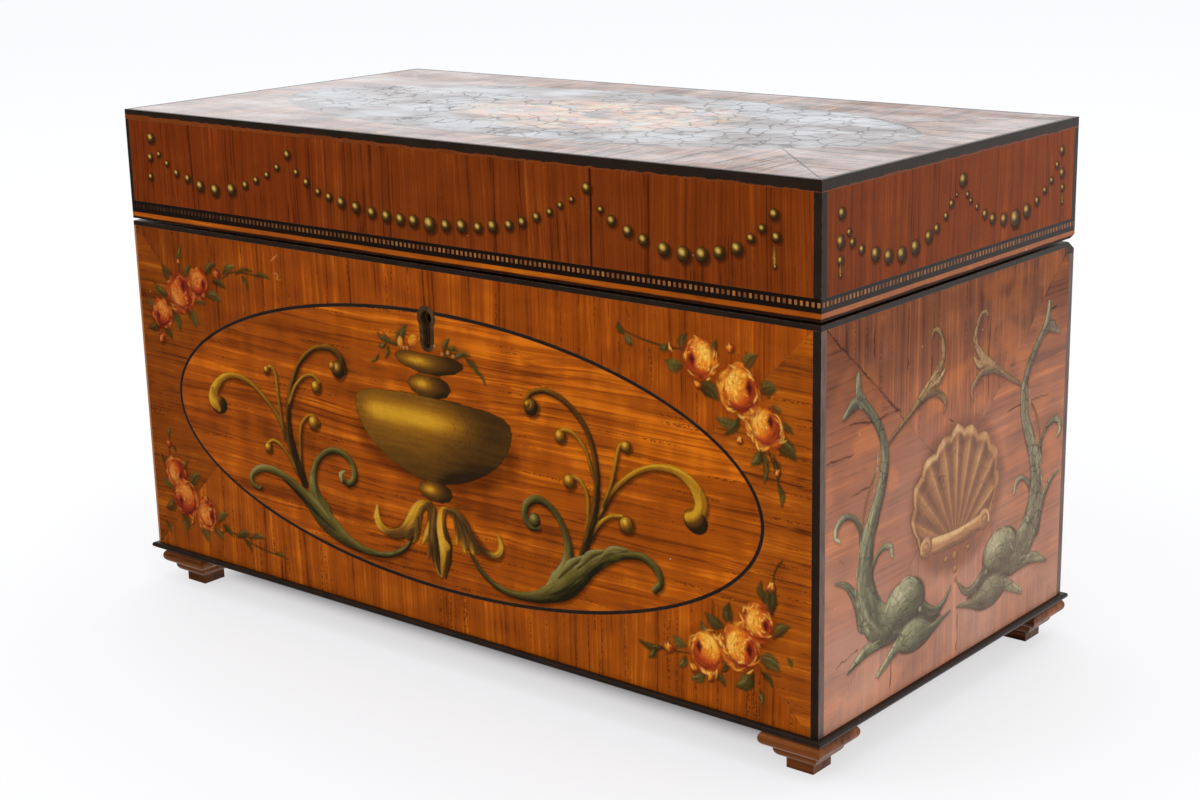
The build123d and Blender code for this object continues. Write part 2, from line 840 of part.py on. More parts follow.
def hinge_pin(centre_x):
    """The pin through all the knuckles."""
    with BuildPart() as pin:
        with BuildSketch(Plane.YZ.offset(centre_x - hinge_length / 2)):
            with Locations((hinge_y, hinge_z)):
                Circle(pin_radius)
        extrude(amount=hinge_length)
    return pin.part


left_places = slice(0, 3)
right_places = slice(3, 6)
hinge_nodes = {
    "left_hinge_base_leaf": hinge_leaf(hinge_xs[0], -1, base_hinge_places[left_places]),
    "right_hinge_base_leaf": hinge_leaf(hinge_xs[1], -1, base_hinge_places[right_places]),
    "left_hinge_lid_leaf": hinge_leaf(hinge_xs[0], 1, lid_hinge_places[left_places]),
    "right_hinge_lid_leaf": hinge_leaf(hinge_xs[1], 1, lid_hinge_places[right_places]),
    "left_hinge_pin": hinge_pin(hinge_xs[0]),
    "right_hinge_pin": hinge_pin(hinge_xs[1]),
}

# Carcass of the lid
lid_string_cuts = corner_prisms(
    half_width, half_depth, corner_string, lid_left_string, lid_panel_z, lid_panel_top
)

with BuildPart() as lid_top_board:
    block((-board_x, -board_y, lid_ceiling_z), (board_x, board_y, lid_panel_top))
    edge_x = half_width - top_edging_width
    edge_y = half_depth - top_edging_width
    block((-edge_x, -edge_y, lid_panel_top), (edge_x, edge_y, top_z - veneer))
    add(lid_string_cuts, mode=Mode.SUBTRACT)

with BuildPart() as lid_front_rail:
    with BuildSketch(Plane.XY.offset(lid_z)):
        with Locations((0, -board_y)):
            Rectangle(2 * board_x, wall_thickness, align=(Align.CENTER, Align.MIN))
        with Locations((-board_x, -inner_y), (board_x, -inner_y)):
            Rectangle(2 * wall_thickness, 2 * (wall_thickness - lap_lip), mode=Mode.SUBTRACT)
    extrude(amount=lid_ceiling_z - lid_z)
    block(
        (lock_left, lock_front, lid_z - cut_margin),
        (lock_right, lock_back + cut_margin, lid_z + lock_plate_thickness),
        mode=Mode.SUBTRACT,
    )
    add(lid_string_cuts, mode=Mode.SUBTRACT)
    add(screw_holes(link_places), mode=Mode.SUBTRACT)

with BuildPart() as lid_back_rail:
    with BuildSketch(Plane.XY.offset(lid_z)):
        with Locations((0, board_y)):
            Rectangle(2 * board_x, wall_thickness, align=(Align.CENTER, Align.MAX))
        with Locations((-board_x, inner_y), (board_x, inner_y)):
            Rectangle(2 * wall_thickness, 2 * (wall_thickness - lap_lip), mode=Mode.SUBTRACT)
    extrude(amount=lid_ceiling_z - lid_z)
    add(lid_string_cuts, mode=Mode.SUBTRACT)
    add(lid_bevel.part, mode=Mode.SUBTRACT)
    add(lid_relief.part, mode=Mode.SUBTRACT)
    add(screw_holes(lid_hinge_places), mode=Mode.SUBTRACT)

lid_side_rails = {}
for name, side in (("left", -1), ("right", 1)):
    with BuildPart() as side_rail:
        block(
            (min(side * inner_x, side * board_x), -side_reach, lid_z),
            (max(side * inner_x, side * board_x), side_reach, lid_ceiling_z),
        )
        add(lid_string_cuts, mode=Mode.SUBTRACT)
    lid_side_rails[name] = side_rail.part

# Veneers of the lid top
top_plane = Plane.XY.offset(top_z - veneer)
top_bands = oval_bands(
    top_plane,
    top_edging_width - half_width,
    half_width - top_edging_width,
    half_depth - top_edging_width,
    top_oval_half_width,
    top_oval_half_depth,
)
top_oval_string = oval_string(top_plane, top_oval_half_width, top_oval_half_depth)
top_oval_panel = oval_panel(top_plane, top_oval_half_width, top_oval_half_depth)

# Veneers of the lid sides
lid_panel_left = lid_left_string - half_width
with BuildPart() as lid_front_veneer:
    block((lid_panel_left, -half_depth, lid_panel_z), (panel_x, -board_y, lid_panel_top))
with BuildPart() as lid_back_veneer:
    block((lid_panel_left, board_y, lid_panel_z), (panel_x, half_depth, lid_panel_top))
with BuildPart() as lid_left_veneer:
    block((-half_width, -panel_y, lid_panel_z), (-board_x, panel_y, lid_panel_top))
with BuildPart() as lid_right_veneer:
    block((board_x, -panel_y, lid_panel_z), (half_width, panel_y, lid_panel_top))

lid_corner_strings = group(*lid_string_cuts)
top_edging = group(
    *mitred_strips(
        half_width, half_depth, top_edging_width, lid_panel_top, top_edging_height
    ).values()
)

# Chequered string and the plain band under it, mitred round the lid
chequer_strips = mitred_strips(
    half_width, half_depth, veneer, lid_z + lower_band_height, chequer_height
)
lower_strips = mitred_strips(half_width, half_depth, veneer, lid_z, lower_band_height)
with BuildPart() as back_chequer:
    add(chequer_strips["back"])
    add(lid_relief.part, mode=Mode.SUBTRACT)
with BuildPart() as back_lower_band:
    add(lower_strips["back"])
    add(lid_bevel.part, mode=Mode.SUBTRACT)
    add(lid_relief.part, mode=Mode.SUBTRACT)
lower_sides = []
for side in ("left", "right"):
    with BuildPart() as lower_side:
        add(lower_strips[side])
        add(lid_bevel.part, mode=Mode.SUBTRACT)
    lower_sides.append(lower_side.part)
lid_chequer_string = group(
    chequer_strips["front"], back_chequer.part, chequer_strips["left"], chequer_strips["right"]
)
lid_lower_band = group(lower_strips["front"], back_lower_band.part, *lower_sides)

# Lining of the lid
lid_lining_z = lid_z + lid_lining_drop
lid_lining_top = lid_ceiling_z - lining_pad
with BuildPart() as lid_top_lining:
    block((-inner_x, -inner_y, lid_lining_top), (inner_x, inner_y, lid_ceiling_z))
lid_walls = []
for side in ("front", "back", "left", "right"):
    with BuildPart() as lid_wall:
        with BuildSketch(Plane.XY.offset(lid_lining_z)):
            Polygon(mitred_outline(side, inner_x, inner_y, lining_board))
        extrude(amount=lid_lining_top - lid_lining_z)
    lid_walls.append(lid_wall.part)
lid_wall_linings = group(*lid_walls)

# Every node under its own name
nodes = {
    "front_board": front_board.part,
    "back_board": back_board.part,
    "left_board": side_boards["left"],
    "right_board": side_boards["right"],
    "bottom_board": bottom_board.part,
    "base_moulding": base_moulding,
    "front_oval_panel": front_oval_panel,
    "front_oval_string": front_oval_string,
    "front_top_band": front_bands["top"],
    "front_bottom_band": front_bands["bottom"],
    "front_left_band": front_bands["left"],
    "front_right_band": front_bands["right"],
    "left_side_veneers": side_quarters["left"],
    "right_side_veneers": side_quarters["right"],
    "back_veneer": back_veneer.part,
    "base_corner_strings": base_corner_strings,
    "rim_edging": rim_edging,
    "keyhole_escutcheon": keyhole_escutcheon.part,
    "base_floor_lining": base_floor_lining.part,
    "base_wall_linings": base_wall_linings,
    "lock_plate": lock_plate.part,
    "lock_cap": lock_cap.part,
    "lock_drill_pin": drill_pin.part,
    "lock_bolt": lock_bolt.part,
    "lock_screws": screws_at(selvedge_places + plate_places),
    "base_hinge_screws": screws_at(base_hinge_places),
    "lid_top_board": lid_top_board.part,
    "lid_front_rail": lid_front_rail.part,
    "lid_back_rail": lid_back_rail.part,
    "lid_left_rail": lid_side_rails["left"],
    "lid_right_rail": lid_side_rails["right"],
    "top_oval_panel": top_oval_panel,
    "top_oval_string": top_oval_string,
    "top_back_band": top_bands["top"],
    "top_front_band": top_bands["bottom"],
    "top_left_band": top_bands["left"],
    "top_right_band": top_bands["right"],
    "lid_front_veneer": lid_front_veneer.part,
    "lid_back_veneer": lid_back_veneer.part,
    "lid_left_veneer": lid_left_veneer.part,
    "lid_right_veneer": lid_right_veneer.part,
    "lid_corner_strings": lid_corner_strings,
    "top_edging": top_edging,
    "lid_chequer_string": lid_chequer_string,
    "lid_lower_band": lid_lower_band,
    "lid_top_lining": lid_top_lining.part,
    "lid_wall_linings": lid_wall_linings,
    "lock_link_plate": lock_link_plate.part,
    "link_plate_screws": screws_at(link_places),
    "lid_hinge_screws": screws_at(lid_hinge_places),
}
nodes.update(feet)
nodes.update(hinge_nodes)

os.makedirs("parts", exist_ok=True)
for name, piece in nodes.items():
    piece.label = name
    export_step(piece, f"parts/{name}.step")
print(len(nodes), "nodes")
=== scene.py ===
"""The looks of a painted satinwood box: veneers, stringing, painted ornament, brass and stage.

Everything is in metres in the model's own frame. Patterns and ornament are worked out in
millimetres. The ornament is drawn on flat easels, one for each painted panel: X runs across
the panel and Y up it.
"""

import math

import bpy
import mathutils
import numpy as np
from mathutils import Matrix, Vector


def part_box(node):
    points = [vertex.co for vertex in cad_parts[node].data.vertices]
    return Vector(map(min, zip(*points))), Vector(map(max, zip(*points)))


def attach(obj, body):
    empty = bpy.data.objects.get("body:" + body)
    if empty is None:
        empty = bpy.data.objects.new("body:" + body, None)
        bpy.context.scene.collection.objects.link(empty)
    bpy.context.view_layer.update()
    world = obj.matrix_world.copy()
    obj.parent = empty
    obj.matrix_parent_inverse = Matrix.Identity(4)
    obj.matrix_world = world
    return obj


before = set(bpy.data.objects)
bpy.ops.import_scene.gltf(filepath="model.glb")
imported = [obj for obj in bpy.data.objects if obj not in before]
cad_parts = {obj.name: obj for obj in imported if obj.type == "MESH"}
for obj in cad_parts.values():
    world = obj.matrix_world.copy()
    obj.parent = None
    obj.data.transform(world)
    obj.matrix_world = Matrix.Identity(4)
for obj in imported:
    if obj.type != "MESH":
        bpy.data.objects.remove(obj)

bl_info = {
    "name": "Painted Satinwood Box",
    "version": (1, 0, 0),
    "blender": (4, 5, 0),
    "location": "View3D > Sidebar > Satinwood Box",
    "description": "Veneers, stringing, painted ornament, brass and stage of a satinwood box",
    "category": "Object",
}

MM = 0.001


def in_mm(box):
    """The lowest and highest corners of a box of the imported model, in millimetres."""
    return [np.array(corner) / MM for corner in box]


# Sizes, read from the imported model
FRONT_Y = in_mm(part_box("front_top_band"))[0][1]
SIDE_LOW, SIDE_HIGH = in_mm(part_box("right_side_veneers"))
LID_FRONT_Y = in_mm(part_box("lid_front_veneer"))[0][1]
LID_SIDE_X = in_mm(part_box("lid_right_veneer"))[1][0]
TOP_Z = in_mm(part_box("top_oval_panel"))[1][2]
TOP_HALF_X = in_mm(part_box("top_front_band"))[1][0]
TOP_HALF_Y = in_mm(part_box("top_right_band"))[1][1]
CHEQUER_Z = in_mm(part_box("lid_chequer_string"))[0][2]
LOWER_BAND_Z = in_mm(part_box("lid_lower_band"))[0][2]


def srgb(red, green, blue):
    """A colour given as 0 to 255 on screen, as the linear values that the shaders use."""
    screen = np.array((red, green, blue)) / 255
    linear = np.where(screen <= 0.04045, screen / 12.92, ((screen + 0.055) / 1.055) ** 2.4)
    return tuple(float(value) for value in linear)


def colour_property(name, description, default):
    """A colour that the user can change in the sidebar."""
    return bpy.props.FloatVectorProperty(
        name=name, description=description, default=default, subtype="COLOR", size=3, min=0, max=1
    )


class BoxColours(bpy.types.PropertyGroup):
    """Colours of the woods, the paints and the metal."""

    top_sky: colour_property("Top sky", "Pale ground of the top's oval", srgb(150, 150, 154))
    top_shade: colour_property("Top shade", "Dark ground of the top's oval", srgb(84, 60, 52))
    top_cream: colour_property("Top cream", "Pale patches of the top's oval", srgb(226, 206, 160))
    top_orange: colour_property("Top orange", "Warm patches of the top's oval", srgb(216, 136, 62))
    top_rose: colour_property("Top rose", "Rosy patches of the top's oval", srgb(192, 128, 100))
    ebony: colour_property("Ebony", "Black strings and edgings", srgb(25, 18, 13))
    brass: colour_property("Brass", "Hinges and lock", srgb(176, 146, 88))
    old_brass: colour_property("Old brass", "Keyhole inlay", srgb(88, 62, 34))
    foot: colour_property("Feet", "Red-brown wood of the feet", srgb(112, 60, 22))
    carcass: colour_property("Carcass", "Wood of the boards", srgb(120, 74, 44))
    lining: colour_property("Lining", "Cloth inside the box", srgb(120, 40, 38))


# The dark streaks, the ground and the light streaks of each wood
WOODS = {
    "front": ((88, 36, 4), (152, 72, 5), (206, 110, 16)),
    "lid": ((68, 25, 3), (114, 47, 5), (150, 72, 14)),
    "side": ((96, 48, 28), (146, 80, 46), (196, 112, 60)),
    "top": ((76, 46, 36), (140, 94, 72), (186, 134, 104)),
}
STREAKS = ("dark", "middle", "light")

# The shade, body, light and glint of each paint: the sea paint is the dolphins', gilt the shell's
PAINTS = {
    "gold": ((44, 28, 8), (100, 61, 6), (150, 96, 5), (194, 140, 22)),
    "green": ((30, 26, 10), (72, 60, 20), (110, 95, 38), (150, 140, 84)),
    "rose": ((112, 22, 4), (190, 76, 10), (226, 138, 26), (250, 204, 92)),
    "bead": ((46, 28, 6), (84, 58, 12), (126, 92, 24), (226, 186, 88)),
    "sea": ((46, 44, 32), (80, 84, 60), (126, 126, 92), (184, 176, 138)),
    "gilt": ((94, 52, 28), (144, 90, 48), (186, 130, 74), (230, 190, 128)),
}
TONES = ("shade", "body", "light", "glint")

for kind, table, steps in (("wood", WOODS, STREAKS), ("paint", PAINTS, TONES)):
    for stuff, shades in table.items():
        for step, shade in zip(steps, shades):
            label = f"{stuff.title()} {step}"
            described = f"The {step} tone of the {stuff} {kind}"
            BoxColours.__annotations__[f"{stuff}_{step}"] = colour_property(label, described, srgb(*shade))


class BoxSizes(bpy.types.PropertyGroup):
    """Sizes of the ornament and of the grain."""

    paint_lift: bpy.props.FloatProperty(
        name="Paint lift",
        description="How far the paint stands off the veneer",
        default=0.00004,
        unit="LENGTH",
    )
    chequer_pitch: bpy.props.FloatProperty(
        name="Chequer pitch",
        description="One light and one dark chequer of the string",
        default=0.00195,
        unit="LENGTH",
    )


# Shader nodes


class Output:
    """What a node puts out. Where it is a number, the usual signs of arithmetic work on it."""

    def __init__(self, nodes, socket):
        self.nodes = nodes
        self.socket = socket

    def other(self, name):
        """Another output of the same node."""
        return Output(self.nodes, self.socket.node.outputs[name])

    def __add__(self, other):
        return self.nodes.maths("ADD", self, other)

    def __sub__(self, other):
        return self.nodes.maths("SUBTRACT", self, other)

    def __rsub__(self, other):
        return self.nodes.maths("SUBTRACT", other, self)

    def __mul__(self, other):
        return self.nodes.maths("MULTIPLY", self, other)

    def __truediv__(self, other):
        return self.nodes.maths("DIVIDE", self, other)

    def __rtruediv__(self, other):
        return self.nodes.maths("DIVIDE", other, self)

    def __abs__(self):
        return self.nodes.maths("ABSOLUTE", self)

    def __lt__(self, other):
        return self.nodes.maths("LESS_THAN", self, other)

    def __gt__(self, other):
        return self.nodes.maths("GREATER_THAN", self, other)

    def held(self):
        """The number held between 0 and 1."""
        return self.nodes.maths("ADD", self, 0.0, use_clamp=True)

    def step(self, low, high):
        """0 below low, 1 above high, and smooth between them."""
        inputs = {"Value": self, "From Min": low, "From Max": high}
        return self.nodes.add("MapRange", inputs, interpolation_type="SMOOTHSTEP")

    def span(self, first, last, low=0.0, high=1.0):
        """First where the number is low or less, last where it is high or more, even between them."""
        inputs = {"Value": self, "From Min": low, "From Max": high, "To Min": first, "To Max": last}
        return self.nodes.add("MapRange", inputs)


class Nodes:
    """The nodes of one material or group, with its coordinates in millimetres."""

    def __init__(self, tree, vector=None):
        self.tree = tree
        self.vector = vector

    def feed(self, socket, value):
        """Link an output to a socket, or set the socket's own number, vector or colour."""
        if isinstance(value, Output):
            self.tree.links.new(value.socket, socket)
        elif socket.type == "RGBA":
            socket.default_value = (*value, 1.0)
        else:
            socket.default_value = value

    def add(self, kind, inputs=None, output=0, **settings):
        """An output of a new node with the given inputs and settings."""
        node = self.tree.nodes.new("ShaderNode" + kind)
        for name, value in settings.items():
            setattr(node, name, value)
        for name, value in (inputs or {}).items():
            self.feed(node.inputs[name], value)
        return Output(self, node.outputs[output])

    def maths(self, operation, first, second=0.0, **settings):
        """The result of one Math node."""
        return self.add("Math", {0: first, 1: second}, operation=operation, **settings)

    def vectors(self, operation, first, second, name=1, output=0):
        """The result of one Vector Math node, whose second input has a number or a name."""
        return self.add("VectorMath", {0: first, name: second}, output, operation=operation)

    def mix(self, factor, first, second, blend="MIX"):
        """Two colours mixed by a factor."""
        return self.add("Mix", {0: factor, 6: first, 7: second}, 2, data_type="RGBA", blend_type=blend)

    def choose(self, factor, first, second):
        """Two numbers mixed by a factor."""
        return self.add("Mix", {0: factor, 2: first, 3: second})

    def times(self, colour, shade):
        """A colour multiplied by a number or by another colour."""
        return self.mix(1.0, colour, shade, "MULTIPLY")

    def axes(self, vector=None):
        """The X, Y and Z of a vector, or of the coordinates."""
        whole = self.add("SeparateXYZ", {0: vector or self.vector})
        return whole, whole.other("Y"), whole.other("Z")

    def facing(self):
        """How far the surface faces along X, Y and Z."""
        return self.axes(self.add("NewGeometry", output="Normal"))

    def noise(self, size, detail=2.0, roughness=0.5, vector=None, output=0):
        """Noise whose features have the given size along X, Y and Z, in millimetres."""
        scale = (1 / np.broadcast_to(size, 3)).tolist()
        placed = self.add("Mapping", {"Vector": vector or self.vector, "Scale": scale})
        inputs = {"Vector": placed, "Scale": 1.0, "Detail": detail, "Roughness": roughness}
        return self.add("TexNoise", inputs, output)

    def effect(self, name, inputs, output=0):
        """A shared effect placed with its own values."""
        group = bpy.data.node_groups[name]
        return self.add("Group", {"Vector": self.vector, **inputs}, output, node_tree=group)

    def along(self, direction, shift=(0, 0, 0)):
        """The coordinates turned so that X runs along the grain, with a shift to another cut."""
        inputs = {"Vector": self.vector, "Rotation": GRAIN_TURNS[direction], "Location": shift}
        return self.add("Mapping", inputs)

    def grain(self, vector, tones, contrast, lines, mottle, length, width):
        """A placed wood grain with its own colours and streaks."""
        sizes = {"Contrast": contrast, "Lines": lines, "Mottle": mottle, "Length": length, "Width": width}
        return self.effect("Wood grain", {"Vector": vector, **dict(zip(GRAIN_TONES, tones)), **sizes})

    def bump(self, height, strength, distance, **normal):
        """A normal that follows a height."""
        return self.add("Bump", {"Height": height, "Strength": strength, "Distance": distance, **normal})


GRAIN_TURNS = {
    "X": (0, 0, 0),
    "Y": (0, 0, math.radians(90)),
    "Z": (0, math.radians(90), 0),
}
GRAIN_TONES = ("Dark", "Middle", "Light")


# Shared effects


def new_effect(name, inputs, outputs):
    """An empty group with named sockets: its nodes, its inputs by name, and its end node."""
    group = bpy.data.node_groups.new(name, "ShaderNodeTree")
    for direction, sockets in (("INPUT", inputs), ("OUTPUT", outputs)):
        for label, kind in sockets.items():
            group.interface.new_socket(label, in_out=direction, socket_type="NodeSocket" + kind)
    nodes = Nodes(group)
    start = group.nodes.new("NodeGroupInput")
    given = {label: Output(nodes, start.outputs[label]) for label in inputs}
    nodes.vector = given["Vector"]
    return nodes, given, group.nodes.new("NodeGroupOutput")


def build_grain():
    """Wood figure. X of the vector is along the grain, in millimetres.

    Two low noises push the grain aside, so that its streaks wander. Long noises of three widths
    are added up and pushed apart by the contrast. Growth lines are the thin crests of a wave
    across the grain, kept where a slow noise lets them. Mottle brightens and dims short
    stretches, and the sum picks dark, middle or light wood. Pores are short dark dashes.
    """
    numbers = dict.fromkeys(("Contrast", "Lines", "Mottle", "Length", "Width"), "Float")
    inputs = {"Vector": "Vector", **dict.fromkeys(GRAIN_TONES, "Color"), **numbers}
    nodes, given, end = new_effect("Wood grain", inputs, {"Color": "Color", "Height": "Float"})
    warped = nodes.vector
    for size, push in (((150, 50, 50), 9.0), ((34, 10, 10), 1.6)):
        aside = nodes.vectors("SUBTRACT", nodes.noise(size, 1.0, output="Color"), (0.5, 0.5, 0.5))
        warped = nodes.vectors("ADD", warped, nodes.vectors("MULTIPLY", aside, (0, push, push)))
    cell = nodes.add("CombineXYZ", {"X": given["Length"], "Y": given["Width"], "Z": given["Width"]})
    scaled = nodes.vectors("DIVIDE", warped, cell)
    broad = nodes.noise((1.3, 2.4, 2.4), 1.0, vector=scaled)
    streak = nodes.noise((1.0, 0.62, 0.62), vector=scaled)
    fine = nodes.noise((0.5, 0.13, 0.13), 2.0, 0.6, vector=scaled)
    kept = nodes.noise((0.8, 1.6, 1.6), 1.0, vector=scaled)
    mottle = nodes.noise((9, 15, 15), 2.0, 0.45)
    pores = nodes.noise((2.4, 0.2, 0.2), 1.0, vector=warped)

    tone = broad * 0.42 + streak * 0.36 + fine * 0.22
    tone = (tone - 0.5) * given["Contrast"] + 0.5
    _, across, up = nodes.axes(scaled)
    wave = nodes.maths("SINE", (across + up + streak * 1.6) * (2 * math.pi))
    tone = tone - wave.step(0.35, 1.0) * kept.step(0.42, 0.6) * given["Lines"]
    tone = tone + (mottle - 0.5) * given["Mottle"]

    colour = nodes.mix(tone.step(0.05, 0.5), given["Dark"], given["Middle"])
    colour = nodes.mix(tone.step(0.48, 0.95), colour, given["Light"])
    dashes = pores.step(0.64, 0.74) * 0.3
    nodes.feed(end.inputs["Color"], nodes.mix(dashes, colour, given["Dark"]))
    nodes.feed(end.inputs["Height"], fine - dashes)


def build_cracks():
    """Age cracks: thin lines between warped cells. Size is a cell's size in millimetres."""
    inputs = {"Vector": "Vector", "Size": "Float", "Width": "Float", "Spread": "Float"}
    nodes, given, end = new_effect("Craquelure", inputs, {"Mask": "Float"})
    aside = nodes.vectors("SUBTRACT", nodes.noise(5, 3.0, output="Color"), (0.5, 0.5, 0.5))
    warped = nodes.vectors("ADD", nodes.vector, nodes.vectors("SCALE", aside, 4.0, "Scale"))
    scaled = nodes.vectors("SCALE", warped, 1.0 / given["Size"], "Scale")
    inputs = {"Vector": scaled, "Scale": 1.0}
    distance = nodes.add("TexVoronoi", inputs, "Distance", feature="DISTANCE_TO_EDGE")
    line = (1.0 - distance / (given["Width"] / given["Size"])).held()
    kept = nodes.noise(26).step(0.42, 0.56)
    nodes.feed(end.inputs["Mask"], line * nodes.maths("MAXIMUM", kept, given["Spread"]))


def build_wear():
    """Wear along edges. The rounded normal leaves the flat one near an edge; noise breaks it up."""
    inputs = {"Vector": "Vector", "Radius": "Float"}
    nodes, given, end = new_effect("Edge wear", inputs, {"Mask": "Float", "Normal": "Vector"})
    rounded = nodes.add("Bevel", {"Radius": given["Radius"]}, samples=4)
    flat = nodes.add("NewGeometry", output="Normal")
    turned = 1.0 - nodes.vectors("DOT_PRODUCT", rounded, flat, output="Value")
    worn = turned.step(0.02, 0.2) * nodes.noise(1.6, 3.0)
    nodes.feed(end.inputs["Mask"], worn.step(0.3, 0.62))
    nodes.feed(end.inputs["Normal"], rounded)


def build_pores():
    """Open pores: dotted dark rows along the grain, with X of the vector along it, in millimetres."""
    nodes, given, end = new_effect("Pore rows", {"Vector": "Vector", "Amount": "Float"}, {"Mask": "Float"})
    rows = nodes.noise((44, 1.5, 1.5), 1.0).step(0.6, 0.68)
    dots = nodes.noise((0.9, 0.6, 0.6), 1.0).step(0.46, 0.58)
    nodes.feed(end.inputs["Mask"], (rows * dots * given["Amount"]).held())


def build_specks():
    """Specks of dust: a small dot in a few of the cells. Size is a cell's size in millimetres."""
    nodes, given, end = new_effect("Specks", {"Vector": "Vector", "Size": "Float"}, {"Mask": "Float"})
    scaled = nodes.vectors("SCALE", nodes.vector, 1.0 / given["Size"], "Scale")
    cells = nodes.add("TexVoronoi", {"Vector": scaled, "Scale": 1.0}, "Distance")
    chance = nodes.add("SeparateColor", {"Color": cells.other("Color")})
    dot = cells < chance.other("Green") * 0.034 + 0.014
    nodes.feed(end.inputs["Mask"], dot * chance.step(0.82, 0.84))


def build_effects():
    """The shared effects, each built once."""
    build_grain()
    build_cracks()
    build_wear()
    build_pores()
    build_specks()


# Materials


class Finish(Nodes):
    """A new material: its Principled BSDF, and object coordinates in millimetres."""

    def __init__(self, name):
        self.material = bpy.data.materials.new(name)
        self.material.use_nodes = True
        super().__init__(self.material.node_tree)
        self.surface = self.tree.nodes["Principled BSDF"]
        metres = self.add("TexCoord", output="Object")
        self.vector = self.add("Mapping", {"Vector": metres, "Scale": (1000, 1000, 1000)})

    def set(self, inputs):
        """Set or link inputs of the Principled BSDF, and give back the material."""
        for name, value in inputs.items():
            self.feed(self.surface.inputs[name], value)
        return self.material

    def polish(self, colour, height, gloss, shine=0.05, dust=0.5):
        """Old polish over wood: a little bump from the grain, worn edges and specks of dust."""
        wear = self.effect("Edge wear", {"Radius": 0.0003})
        worn = self.mix(wear, colour, self.mix(0.4, colour, srgb(180, 120, 70)))
        specks = self.effect("Specks", {"Size": 9.0})
        return self.set(
            {
                "Base Color": self.mix(specks * dust, worn, srgb(214, 196, 170)),
                "Roughness": self.noise(18, 3.0).span(*gloss),
                "Specular IOR Level": shine,
                "Normal": self.bump(height, 0.25, 0.00006, Normal=wear.other("Normal")),
            }
        )


def tones_of(wood):
    """The dark, middle and light tones of a wood."""
    colours = bpy.context.scene.box_colours
    return [getattr(colours, f"{wood}_{streak}") for streak in STREAKS]


def front_veneer(name, direction, shift, figure, tone=1.0, left=0.7, tint=(1, 1, 1), deep=1.0):
    """Golden veneer of the front in slow clouds, with painted shade darkening its left end.

    Tone is its overall lightness, left its lightness at the left end under the painted shade, and
    deep the depth of its dark streaks.
    """
    finish = Finish(name)
    dark, middle, light = tones_of("front")
    streaks = [low * deep + high * (1 - deep) for low, high in zip(dark, middle)]
    turned = finish.along(direction, shift)
    wood = finish.grain(turned, (streaks, middle, light), *figure)
    pores = finish.effect("Pore rows", {"Vector": turned, "Amount": 0.75})
    x, _, z = finish.axes()
    # Painted shade darkens the left end; the wood is also a bit darker low down and lighter on the right
    tone_and_painted_shade = x.step(-165.0, -50.0).span(left * tone, 0.96 * tone) + x.step(50.0, 130.0) * 0.07
    tone_and_painted_shade = tone_and_painted_shade * (z.step(15.0, 75.0) * 0.1 + 0.9)
    cloud = finish.noise((60, 60, 34)).span(0.8, 1.2)
    colour = finish.times(finish.mix(pores, wood, dark), tone_and_painted_shade * cloud)
    return finish.polish(finish.times(colour, tint), wood.other("Height"), (0.28, 0.42))


# Joints of the lid's front veneer: each is its place across and how dark it is
LID_JOINTS = ((-46.3, 0.35), (69.2, 0.95))


def lid_veneer(name):
    """Red-brown upright veneer of the lid's sides, in three lengths with dark joints on the front."""
    finish = Finish(name)
    tones = tones_of("lid")
    turned = finish.along("Z")
    wood = finish.grain(turned, tones, 1.8, 0.2, 0.3, 130, 1.4)
    pores = finish.effect("Pore rows", {"Vector": turned, "Amount": 0.3})
    colour = finish.mix(pores, wood, tones[0])
    x, y, _ = finish.axes()
    front = finish.facing()[1] < -0.5
    run = x + finish.noise((6, 6, 9)) * 0.8
    for joint, strength in LID_JOINTS:
        seam = abs(run - joint).step(0.7, 0.15) * strength * front
        colour = finish.mix(seam, colour, srgb(40, 18, 8))
    # Painted light: the ends and the back are lightened, the more the further back
    colour = finish.times(colour, finish.choose(front, y.span(1.04, 1.26, -76.0, 76.0), 1.0))
    redder = x.step(-46.0, -47.5) * front * 0.2
    colour = finish.mix(redder, colour, srgb(236, 176, 150), "MULTIPLY")
    return finish.polish(colour, wood.other("Height"), (0.26, 0.38), 0.05, 0.3)


def quartered_veneer(name):
    """Side veneer: grain runs up in the top and bottom quarters and across in the other two.

    A pale painted haze of light reflected in the old varnish grows towards the floor and in slow clouds.
    """
    finish = Finish(name)
    tones = tones_of("side")
    half, middle = (SIDE_HIGH - SIDE_LOW) / 2, (SIDE_HIGH + SIDE_LOW) / 2
    upright = finish.grain(finish.along("Z", (0, 40, 300)), tones, 2.3, 0.2, 0.5, 90, 1.8)
    level = finish.grain(finish.along("Y"), tones, 1.9, 0.2, 0.4, 80, 2.0)
    _, y, z = finish.axes()
    gap = abs(z - middle[2]) / half[2] - abs(y) / half[1]
    above = gap > 0.0
    rows = finish.effect("Pore rows", {"Vector": finish.along("Z"), "Amount": 0.8}) * above
    seam = abs(gap).step(0.01, 0.003) * finish.noise(9).step(0.4, 0.62) * 0.7
    warm = finish.noise((24, 20, 13)).step(0.52, 0.68) * 0.4
    painted_haze = z.span(0.0, 1.0, 132.0, 30.0) * (finish.noise((40, 40, 26), 3.0) * 0.76 + 0.03)
    colour = finish.mix(rows, finish.mix(above, level, upright), tones[0])
    colour = finish.mix(seam, colour, srgb(50, 26, 20))
    colour = finish.mix(warm, colour, srgb(206, 116, 50))
    # Painted shade darkens the top; a painted haze of reflected light pales the lower part
    colour = finish.times(colour, 1.0 - z.step(104.0, 122.0) * 0.36)
    colour = finish.mix(painted_haze, colour, srgb(216, 172, 152))
    return finish.polish(colour, level.other("Height"), (0.3, 0.45), 0.05, 0.3)


# Strength of the cracks, and the thinnest and the thickest coat, for each ground of the top
TOP_FINISH = {
    "painted": (1.0, 0.55, 1.0),
    "string": (0.6, 0.3, 0.9),
    "X": (0.25, 0.42, 0.92),
    "Y": (0.25, 0.42, 0.92),
}


